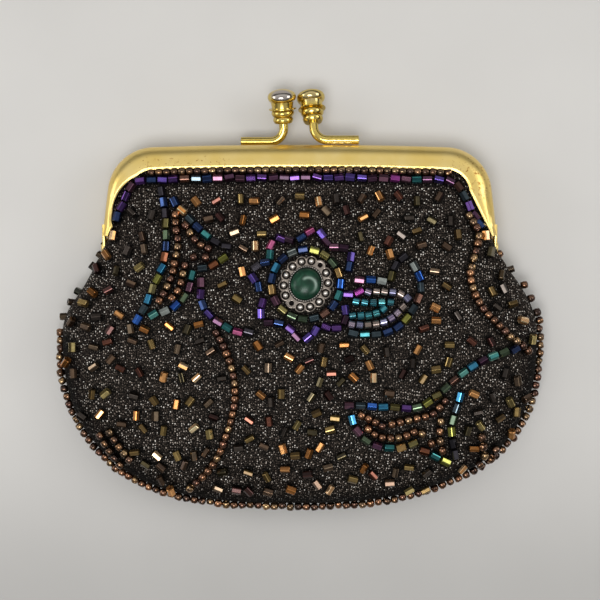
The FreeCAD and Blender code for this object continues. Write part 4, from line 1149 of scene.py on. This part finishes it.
places, out = side_seam(seam_bugle_y)
flip = np.stack([seam_bugle_side, np.ones(len(places))], -1)
centres = skewed(raised((places + 0.15 * out) * flip, seam_z + 0.5))
made = beads("seam_bugles", bugle_bead, centres, raised(out * flip, 0.45), upright(len(out)), smoky_pairs,
             iris_glass, 23, wobble=0.2)
settled(made, "bronze_bugle_glass", "bag")

# Flower setting and stone
# A cast antique-silver button sewn on through two holes: an oval scalloped plate, a round stud in a
# sunk seat on each lobe, and a milled bezel that holds a domed green stone.

flower_place = np.array([[1.4, 3.6]])
flower_tilt = np.radians(-25)
setting_half = np.array([6.2, 6.75])
setting_thickness = 0.9
setting_lift = 0.27
lobe_count = 14
lobe_depth = 0.6
stud_inset = 1.25
stud_radius = 0.6
seat_radius = 0.74
seat_width = 0.2
seat_depth = 0.28
hole_lobes = (3, 10)
top_rows = 40
stone_half = np.array([3.4, 3.75])
stone_dome = 2.2
stone_gap = 0.05
bezel_wall = 0.35
bezel_teeth = 44
reflection_middle = (0.6, -0.55)
reflection_radius = 1.75
reflection_width = 0.3

flower_seat, flower_out = seated(flower_place, setting_lift, FRONT)
lean_x, lean_y, lean_z = np.cross([0, 0, 1.0], flower_out[0])
lean_cross = np.array([[0, -lean_z, lean_y], [lean_z, 0, -lean_x], [-lean_y, lean_x, 0]])
lean = np.eye(3) + lean_cross + lean_cross @ lean_cross / (1 + flower_out[0, 2])
c, s = np.cos(flower_tilt), np.sin(flower_tilt)
tilt = np.array([[c, -s, 0], [s, c, 0], [0, 0, 1]])


def on_flower(points):
    """Points made flat round the flower's middle, turned and laid on the cloth there."""
    return flower_seat[0] + np.asarray(points).reshape(-1, 3) @ (lean @ tilt).T


lobes = 2 * np.pi * np.arange(lobe_count) / lobe_count
stud_places = ways_at(lobes) * (setting_half - stud_inset)
is_hole = np.isin(np.arange(lobe_count), hole_lobes)


def setting_plate():
    """The plate as a polar grid from under its middle, round its scalloped edge and back over the top,
    with a sunk ring round each stud. Also gives how sunk each point is, for the dark patina."""
    angle = np.linspace(0, 2 * np.pi, 336, endpoint=False)
    lobe = (angle / (2 * np.pi) * lobe_count + 0.5) % 1 - 0.5
    edge = setting_half - (lobe_depth * (2 * lobe) ** 2)[:, None]
    share = np.r_[np.linspace(0.5, 0.985, top_rows), 1.0, 1.0, 0.985, 0.5]
    level = np.r_[np.full(top_rows, setting_thickness), setting_thickness - 0.14, 0.12, 0.0, 0.0]
    flat = share[:, None, None] * edge * ways_at(angle)
    height = np.broadcast_to(level[:, None], flat.shape[:2]).copy()
    apart = np.linalg.norm(flat[:, :, None] - stud_places, axis=-1)
    ring = np.exp(-(((apart - seat_radius) / seat_width) ** 4))
    pit = is_hole * (1 - smooth(apart, 0.42, 0.62))
    top = (np.arange(len(share)) < top_rows)[:, None]
    rim = 0.14 * np.exp(-(((share[:, None] - 0.965) / 0.022) ** 2))
    sunk = np.max(ring * ~is_hole + pit, axis=-1) * top
    height += np.where(top, rim - seat_depth * sunk * (1 + pit.max(-1)), 0)
    points = np.concatenate([flat, height[..., None]], -1).reshape(-1, 3)
    past_bezel = np.linalg.norm(flat / (stone_half + bezel_wall + stone_gap), axis=-1) - 1
    sunk = np.maximum(sunk, top * (1 - smooth(past_bezel * stone_half.mean(), 0.08, 0.26)))
    return points, grid_faces(*height.shape, round_rows=True, round_columns=True), sunk.ravel()


def milled_bezel():
    """The bezel: a rounded wall carried round the stone's oval, with fine teeth on its crown. Also gives how
    bright each point is rubbed."""
    angle = np.linspace(0, 2 * np.pi, 360, endpoint=False)
    offset = np.array([0.02, 0.02, 0.1, 0.2, 0.3, bezel_wall, bezel_wall])
    level = np.array([0.0, 0.55, 0.72, 0.76, 0.7, 0.5, 0.0]) + setting_thickness - 0.05
    crown = np.array([0, 0, 0.6, 1, 1, 0.4, 0])[:, None]
    teeth = 0.07 * np.sin(bezel_teeth * angle)
    flat = (stone_half + stone_gap + offset[:, None, None]) * ways_at(angle)
    height = level[:, None] + crown * teeth
    points = np.concatenate([flat, height[..., None]], -1).reshape(-1, 3)
    bared = crown * smooth(teeth, -0.05, 0.02)
    return points, grid_faces(*height.shape, round_rows=True, round_columns=True), bared.ravel()


def round_studs():
    """A small round stud in each seat: three quarters of a ball, by turn and rise."""
    turn, rise = np.meshgrid(np.linspace(0, 2 * np.pi, 20, endpoint=False), np.linspace(-0.9, np.pi / 2, 10))
    ball = np.stack([np.cos(turn) * np.cos(rise), np.sin(turn) * np.cos(rise), np.sin(rise)], -1)
    faces = grid_faces(*turn.shape, round_columns=True)
    return [((ball * stud_radius + [*place, setting_thickness - 0.05]).reshape(-1, 3), faces)
            for place in stud_places[~is_hole]]


def sewn_down(made, node):
    """Bakes a piece of the flower's transform into its points, and lets it stand for its node."""
    bends(made, np.full(len(made.data.vertices), opening_share(*flower_place[0])))
    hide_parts(node)


# Antique silver plate: warm grey cast metal, dark in its hollows where the patina was left and bright on the
# rubbed studs and bezel
antique_silver, tree = blank_material("antique silver plate")
cast = grain(tree, 0.7, 4.0)
silver_tone = toned(tree, cast, (0.3, "#8e847b"), (0.7, "#a49a91"))
aged = mixed(tree, kept_value(tree, "patina"), silver_tone, "#0e0b0a")
cast_skin = add(tree, "Bump", {"Height": cast, "Strength": 0.15, "Distance": 0.0002})
surface(tree, {"Base Color": mixed(tree, kept_value(tree, "rubbed"), aged, "#dcd6cf"), "Metallic": 0.9,
               "Roughness": 0.34, "Normal": cast_skin})

plate_points, plate_faces, sunk = setting_plate()
bezel_points, bezel_faces, bared = milled_bezel()
setting_points, setting_faces = joined([(plate_points, plate_faces), (bezel_points, bezel_faces),
                                        *round_studs()])
setting = piece("silver_flower_setting", on_flower(setting_points), setting_faces, antique_silver,
                weld=False)
stud_points = len(setting_points) - len(sunk) - len(bared)
marked(setting, "patina", np.r_[sunk, 1 - bared, np.zeros(stud_points)])
marked(setting, "rubbed", np.r_[0 * sunk, bared, np.ones(stud_points)])
sewn_down(setting, "flower_setting")

# Green aventurine: deep green and cloudy under a worn polish, with one pale hooked arc painted on as a
# reflection
aventurine, tree = blank_material("green aventurine")
cloudy = grain(tree, 3.2, 4.0, Distortion=1.2)
stone_tone = toned(tree, cloudy, (0.35, "#0a2a1c"), (0.75, "#2f5a44"), (0.55, "#123c2a"))
surface(tree, {"Base Color": mixed(tree, kept_value(tree, "painted_reflection"), stone_tone, "#93aa9c"), "Roughness": 0.3,
               "Specular IOR Level": 0.3})

turn, reach = np.meshgrid(np.linspace(0, 2 * np.pi, 72, endpoint=False), np.linspace(0, np.pi / 2, 36))
stone_foot = setting_thickness + stone_gap
stone_points = np.stack([stone_half[0] * np.sin(reach) * np.cos(turn),
                         stone_half[1] * np.sin(reach) * np.sin(turn),
                         stone_foot + stone_dome * np.cos(reach) ** 0.9], -1)
stone_points = np.concatenate([stone_points, np.broadcast_to([0, 0, stone_foot], (1, 72, 3))])
stone_faces = grid_faces(*stone_points.shape[:2], round_columns=True)
stone = piece("green_flower_stone", on_flower(stone_points), stone_faces, aventurine)
# Painted reflection: a pale hooked arc laid on the stone's colour
across, up, _ = ((points_of(stone) - flower_seat[0]) @ lean).T - np.array([[*reflection_middle, 0]]).T
reflection_turn = np.arctan2(up, across)
reflection_line = np.exp(-(((np.hypot(across, up) - reflection_radius) / reflection_width) ** 2))
marked(stone, "painted_reflection", 0.75 * reflection_line * smooth(reflection_turn, -1.7, 0.3) * (1 - smooth(reflection_turn, 2.0, 2.5)))
sewn_down(stone, "flower_cabochon")

# Flower beads
# A ring of iris bugle beads sewn close round the setting, and a star of eight pointed petals round it.

ring_radius = 7.9
petal_count = 8
petal_tip = 13.4
petal_valley = 10.1
petal_under_leaf = 6
petal_bare_tip = 0.86
petal_bead_gap = 0.05
tip_angles = np.radians([79.5, 126, 167, 219.5, 266, 311, 355, 397, 439.5])
ring_hues = (
    "royal tan moss olive lime navy pearl navy sky navy tan mauve olive moss moss slate cocoa navy teal")
petal_hues = (
    "pink navy purple plum pink teal smoke navy violet navy violet purple plum navy plum purple violet "
    "violet purple purple plum violet violet navy plum mauve violet plum")


def sewn(name, node, kind, lift, places, ahead, pairs, glass, seed, slot, **looks):
    """Beads on the front cloth that stand for a node where one is named."""
    centres, out = seated(places, lift, FRONT)
    made = beads(name, kind, centres, ahead, out, pairs, glass, seed, **looks)
    bends(made, np.repeat(opening_share(*places.T), len(kind[0])))
    if node:
        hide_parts(node)
    sewn_rows[name] = places


def sewn_bugles(name, node, seed, places, ahead, pairs, slot="bugle_glass", **looks):
    """Bugle beads sewn on the front cloth."""
    lift = bugle_radius + bead_gap
    sewn(name, node, bugle_bead, lift, places, ahead, pairs, iris_glass, seed, slot, **looks)
    bead_shade_places.append(thirds(places, ahead))


def sewn_seeds(name, node, seed, places, ahead, pairs, kind=seed_bead, glass=bronze_glass,
               slot="seed_glass"):
    """Seed beads sewn on the front cloth, larger than those at the lip."""
    lift = seed_radius + bead_gap
    sewn(name, node, kind, lift, places, ahead, pairs, glass, seed, slot, girth=(1.06, 1.22))
    bead_shade_places.append(places)


ring_count = int(2 * np.pi * ring_radius / bugle_pitch)
angle = 2 * np.pi * np.arange(ring_count) / ring_count
ring_ahead = np.stack([-np.sin(angle), np.cos(angle), 0 * angle], -1)
sewn_bugles("flower_ring", "flower_ring_beads", 31, flower_place + ring_radius * ways_at(angle), ring_ahead,
            named_hues(ring_hues, ring_count))

corners = np.arange(2 * petal_count + 1)
corner_angle = np.interp(corners / 2, np.arange(petal_count + 1), tip_angles)
corner_reach = np.where(corners % 2, petal_valley, petal_tip)
star = flower_place + corner_reach[:, None] * ways_at(corner_angle)
from_tip = (corners[:-1] % 2 == 0)[:, None]
tips = np.where(from_tip, star[:-1], star[1:])
valleys = np.where(from_tip, star[1:], star[:-1])
inward = unit(valleys - tips)
reach = petal_bare_tip + bugle_length / 2 + (bugle_length + petal_bead_gap) * np.arange(2)
places = (tips[:, None] + inward[:, None] * reach[:, None]).reshape(-1, 2)
shown = np.repeat((corners[:-1] + 1) // 2 != petal_under_leaf, 2)
places, ahead = places[shown], raised(np.repeat(inward, 2, axis=0), 0)[shown]
sewn_bugles("flower_petals", "flower_petal_beads", 32, places, ahead, named_hues(petal_hues, len(places)),
            wobble=0.16)

# Leaf beside the flower
# A leaf outlined in iris bugles, with a line of clear lilac seeds inside it and two rows of teal seeds.

clear_pairs = [("#6e6080", "#b4a4c4"), ("#685c72", "#a898a8"), ("#74665e", "#b4a298"),
               ("#5a5a76", "#9494b4")]
teal_pairs = [("#1c6674", "#3c9aa8"), ("#174f5a", "#2f7c88"), ("#226e78", "#62bcc0")]
lined_bead = bead_shape(both_ends([(0.8, 0.3), (0.8, 0.62), (0.68, 0.8)]), 14, 35)


def flowing(points):
    """A fine smooth line through places on the cloth: a cubic between neighbours."""
    points = np.asarray(points, float)
    points = np.concatenate([2 * points[:1] - points[1:2], points, 2 * points[-1:] - points[-2:-1]])
    t = np.linspace(0, 1, 24, endpoint=False)[:, None, None]
    a, b, c, d = points[:-3], points[1:-2], points[2:-1], points[3:]
    line = b + t * (c - a) / 2 + t**2 * (a - 2.5 * b + 2 * c - d / 2) + t**3 * (1.5 * (b - c) + (d - a) / 2)
    return np.concatenate([line.transpose(1, 0, 2).reshape(-1, 2), points[-2:-1]])


def rows_of(lines, pitch, hues=()):
    """Even places along several flowing lines, one after the other, with the hues named for each line."""
    walks = [even_walk(flowing(line), pitch) for line in lines]
    places, ahead = (np.concatenate(part) for part in zip(*walks))
    if not hues:
        return places, ahead
    return places, ahead, sum((named_hues(names, len(walk[0])) for names, walk in zip(hues, walks)), [])


# Silver-lined seed glass: short clear tubes, each with a silvered hole that shows as a bright dash
lustre_glass = coated_glass("silver-lined seed glass", 0.9, 0.16, 0.8, 0.04)

sewn_bugles("leaf_outline", "leaf_bugle_beads", 41, *rows_of([
    [(11.0, 1.3), (13.5, 1.8)],
    [(13.6, 4.5), (16.2, 4.6), (18.7, 4.3)],
    [(21.0, 5.4), (21.9, 7.8), (23.6, 9.6)],
    [(26.3, 7.8), (27.5, 5.2), (27.7, 2.4), (26.7, -0.6), (25.0, -3.4), (22.9, -5.7), (19.8, -7.3),
     (16.0, -7.8), (12.2, -7.5)],
], bugle_pitch, ["purple magenta", "mauve royal pearl", "olive smoke smoke",
                 "pearl royal slate smoke cocoa slate lime navy navy olive slate teal slate"]))
sewn_seeds("leaf_lilac_seeds", "leaf_seed_beads", 43, *rows_of([
    [(15.6, 1.8), (18.8, 1.9), (22.4, 1.5), (24.6, 0.4)],
    [(23.6, -1.6), (21.5, -3.6), (18.8, -5.1), (15.1, -5.6), (11.7, -5.5)],
], seed_pitch), clear_pairs, lined_bead, lustre_glass, "lilac_glass")
sewn_seeds("leaf_teal_seeds", "leaf_seed_beads", 44, *rows_of([
    [(12.8, -0.4), (15.4, -0.6), (20.6, -0.5)],
    [(12.0, -3.5), (15.2, -3.5), (17.4, -3.0), (19.0, -2.1)],
], seed_pitch), teal_pairs, lined_bead, lustre_glass, "lilac_glass")

# Left leaf and vines
# A long leaf under the left corner in blue and olive bugles filled with bronze seeds, a violet vine
# from the flower, and a bronze seed vine down to the foot.

sewn_bugles("left_leaf_outline", "left_leaf_bugle_beads", 51, *rows_of([
    [(-32.1, 25.0), (-31.4, 22.0), (-30.9, 18.0), (-30.7, 12.4), (-31.8, 7.0), (-33.7, 2.8), (-35.5, -1.2),
     (-37.1, -4.4)],
    [(-28.9, 22.6), (-27.3, 20.8), (-25.3, 18.6), (-22.6, 15.7), (-19.8, 13.6), (-16.9, 12.2)],
    [(-17.6, 9.5), (-19.9, 8.0), (-22.3, 7.4)],
    [(-24.7, 5.6), (-25.3, 2.6), (-26.6, 0.5), (-28.4, -1.2), (-30.7, -2.5), (-33.5, -3.3)],
], bugle_pitch, ["smoke navy smoke olive moss navy rust slate sky lime olive sky slate royal",
                 "navy peach slate aqua navy teal smoke smoke", "lime rust slate",
                 "teal mauve moss royal pearl aqua"]))
sewn_seeds("left_leaf_seeds", "left_leaf_seed_beads", 52, *rows_of([
    [(-28.6, 19.6), (-28.4, 16.2), (-27.9, 13.0), (-28.5, 9.3), (-29.3, 5.6), (-30.6, 2.4), (-32.2, -0.1)],
    [(-26.3, 17.0), (-24.7, 14.5), (-23.0, 12.8), (-21.0, 11.8)],
    [(-21.6, 9.7), (-24.4, 9.8)],
    [(-26.3, 8.0), (-26.7, 5.9), (-27.6, 2.6), (-29.2, 0.5)],
], seed_pitch), bronze_pairs)
sewn_bugles("violet_vine", "violet_vine_beads", 53, *rows_of([
    [(-22.6, 4.0), (-22.6, 0.8), (-21.6, -2.2), (-19.4, -4.4), (-16.8, -6.1), (-14.2, -7.2), (-11.6, -7.3)],
], bugle_pitch, ["mauve purple navy violet plum teal pink smoke"]))
sewn_seeds("left_seed_vine", "left_seed_vine_beads", 54, *rows_of([
    [(-19.1, -7.4), (-17.3, -10.8), (-15.6, -15.4), (-14.8, -20.4), (-15.4, -26.1), (-17.2, -31.9),
     (-19.4, -37.2), (-21.7, -40.6), (-24.0, -43.0)],
], seed_pitch), bronze_pairs)

# Right leaf and vine
# A second long leaf low on the right with its stem up to the hip, and a bronze seed vine down the side.

sewn_bugles("right_leaf_outline", "right_leaf_bugle_beads", 61, *rows_of([
    [(11.2, -23.9), (16.0, -24.1), (21.7, -24.4), (27.0, -24.4), (30.8, -22.2), (35.0, -18.5), (38.9, -15.5),
     (43.7, -13.0), (49.3, -11.3)],
    [(12.0, -27.2), (13.4, -30.0), (15.8, -32.4), (19.5, -33.6), (23.4, -33.6), (26.0, -32.8)],
    [(28.6, -34.6), (31.4, -35.8), (33.8, -37.0)],
    [(36.7, -22.0), (35.8, -25.2), (34.9, -28.5), (35.0, -32.0), (35.8, -35.2)],
], bugle_pitch, ["mauve slate royal sky olive purple moss lime olive pearl moss cocoa aqua sky plum aqua "
                 "moss navy", "sky mauve moss slate plum teal tan olive", "rust teal lime",
                 "sky slate moss lime smoke smoke"]))
sewn_seeds("right_leaf_seeds", "right_leaf_seed_beads", 62, *rows_of([
    [(14.0, -26.2), (16.5, -27.3), (18.8, -28.6)],
    [(21.0, -28.2), (25.7, -27.1), (29.8, -26.2), (31.7, -24.8), (33.3, -22.9)],
    [(15.6, -29.3), (17.9, -31.0), (20.9, -31.5), (24.1, -31.0), (26.2, -30.0)],
    [(28.0, -30.4), (29.2, -31.5), (30.2, -32.7)],
    [(32.3, -27.6), (32.1, -31.0), (32.8, -34.4)],
], seed_pitch), bronze_pairs)
sewn_seeds("right_seed_vine", "right_seed_vine_beads", 63, *rows_of([
    [(39.2, 19.6), (40.2, 17.7), (41.2, 15.2), (40.7, 11.8), (40.1, 10.0), (39.2, 6.2), (39.4, 3.9),
     (40.6, 0.4), (42.5, -2.6), (45.2, -5.3), (47.9, -8.1), (49.6, -9.3), (51.2, -10.5), (52.4, -11.6)],
], seed_pitch), bronze_pairs)
motif_rows = [places for name, places in sewn_rows.items() if "leaf" in name or "vine" in name]

# Corner seeds
# Short double rows of bronze seeds in the two round corners at the foot of the bag.

sewn_seeds("corner_seeds", None, 66, *rows_of([
    [(-45.9, -31.0), (-43.6, -34.6), (-41.0, -37.6)],
    [(-43.6, -30.2), (-41.4, -33.6), (-38.9, -36.4)],
    [(41.8, -31.3), (42.2, -33.6), (42.8, -35.8), (42.0, -37.6)],
    [(45.2, -34.2), (44.4, -36.4)],
], seed_pitch), dark_bronze_pairs)

# Scattered bugles
# Single bronze, copper, plum and olive bugle beads sewn all over both panels at every angle. The front
# has a steady grid of them, nudged and turned, and loose ones sewn in between.

copper_pairs = [
    ("#6e4822", "#c88444"), ("#6a5632", "#a88e58"), ("#2a1a18", "#4c2e2a"), ("#4a3a26", "#80683e"),
    ("#5a4a3c", "#8c7862"), ("#2e2824", "#4e4640"), ("#8a5c30", "#e8a868"), ("#44342a", "#6e5846"),
    ("#c08a54", "#ffdcb0"), ("#6e6038", "#c8b478"), ("#4a2a22", "#7c4c3c"), ("#3a3426", "#665c40"),
]
scatter_pitch = 6.0
scatter_nudge = 1.2
scatter_turn = np.radians(137.5)
scatter_top_y = 19.5
scatter_margin = 6.5
scatter_clearance = 2.9
loose_reach = 58
loose_low_y = -47
loose_top_y = 27.5
loose_jitter = 0.26
loose_margin = (1.2, 2.4)
loose_clearance = 2.7
loose_from_flower = 12.5
front_girth = (0.72, 1.03)
back_girth = (0.72, 0.86)


def apart_from(places, rows):
    """Distance of each place from the nearest bead of the rows."""
    return np.min(np.linalg.norm(places[:, None] - np.concatenate(list(rows)), axis=-1), axis=1)


def inside_seam(places, side_margin, foot_margin):
    """Which places lie inside the sewn outline by those margins."""
    x, y = places.T
    return (np.abs(x) < cloth_half_width(y) - side_margin) & (y > bottom_y + foot_margin)


def pointed(places, angle):
    """The places, and a way along each bead at its angle."""
    return places, raised(ways_at(angle), 0)


def steady_grid(rows):
    """Places on a staggered grid, each nudged and turned by a steady angle, clear of the rows and flower."""
    columns = int(bag_half_width / scatter_pitch) + 1
    row, column = np.meshgrid(np.arange(int((scatter_top_y - bottom_y) / scatter_pitch) + 1),
                              np.arange(-columns, columns + 1), indexing="ij")
    turn = scatter_turn * (row * (2 * columns + 1) + column)
    x = (column + row % 2 / 2) * scatter_pitch + scatter_nudge * np.cos(2 * turn)
    y = scatter_top_y - row * scatter_pitch + scatter_nudge * np.sin(3 * turn)
    places = np.stack([x, y], -1).reshape(-1, 2)
    off_flower = np.linalg.norm(places - flower_place, axis=1) > petal_tip + bugle_length / 2
    off_hinge = (places[:, 1] < -2) | (np.abs(places[:, 0]) < corner_middle[0])
    off_rows = apart_from(places, rows) > scatter_clearance
    kept = inside_seam(places, scatter_margin, scatter_margin) & off_flower & off_hinge & off_rows
    return pointed(places[kept], turn.ravel()[kept])


def scattered(cell, seed, rows, from_flower):
    """Loose places on a jittered grid inside the outline, kept clear of the rows already sewn."""
    chance = np.random.default_rng(seed)
    x, y = np.meshgrid(np.arange(-loose_reach, loose_reach, cell),
                       np.arange(loose_low_y, loose_top_y, cell * 0.9))
    x = x + (np.arange(len(x)) % 2)[:, None] * cell / 2
    jitter = chance.uniform(-loose_jitter, loose_jitter, (x.size, 2))
    places = np.stack([x, y], -1).reshape(-1, 2) + jitter * cell
    off_flower = np.linalg.norm(places - flower_place, axis=1) > from_flower
    off_rows = apart_from(places, rows) > loose_clearance
    places = places[inside_seam(places, *loose_margin) & off_rows & off_flower]
    return pointed(places, chance.uniform(0, np.pi, len(places)))


sewn_bugles("front_scattered_bugles", "scattered_bugle_beads", 72, *steady_grid(motif_rows), copper_pairs,
            "bronze_bugle_glass", wobble=0.1, girth=front_girth)
sewn_bugles("front_loose_bugles", None, 75, *scattered(4.6, 71, sewn_rows.values(), loose_from_flower),
            copper_pairs, "bronze_bugle_glass", wobble=0.14, girth=front_girth)
places, ahead = scattered(6.6, 73, lip_rows.values(), 0)
centres, out = seated(places, bugle_radius, BACK)
made = beads("back_scattered_bugles", bugle_bead, centres, ahead, out, copper_pairs, iris_glass, 74,
             wobble=0.05, girth=back_girth)
settled(made, "bronze_bugle_glass", "bag")

# Painted shade on the front knit: near black round every bead on it and where it turns in at the seam
bead_shade_strength = 0.85
bead_shade_reach = (0.8, 1.7)
seam_shade_strength = 0.9
seam_shade_reach = (0.74, 0.98)
covered = np.concatenate([apart_from(row, bead_shade_places) for row in front_flat])
flat_x, flat_y = front_flat.reshape(-1, 2).T
to_seam = np.abs(flat_x / bag_half_width) ** bottom_roundness
to_seam += np.clip((hip_y - flat_y) / (hip_y - bottom_y), 0, 1) ** bottom_roundness
painted_seam_shade = seam_shade_strength * smooth(to_seam, *seam_shade_reach) * (flat_y < hip_y)
painted_bead_shade = bead_shade_strength * (1 - smooth(covered, *bead_shade_reach))
marked(front_cloth, "painted_knit_shade", np.maximum(painted_bead_shade, painted_seam_shade))
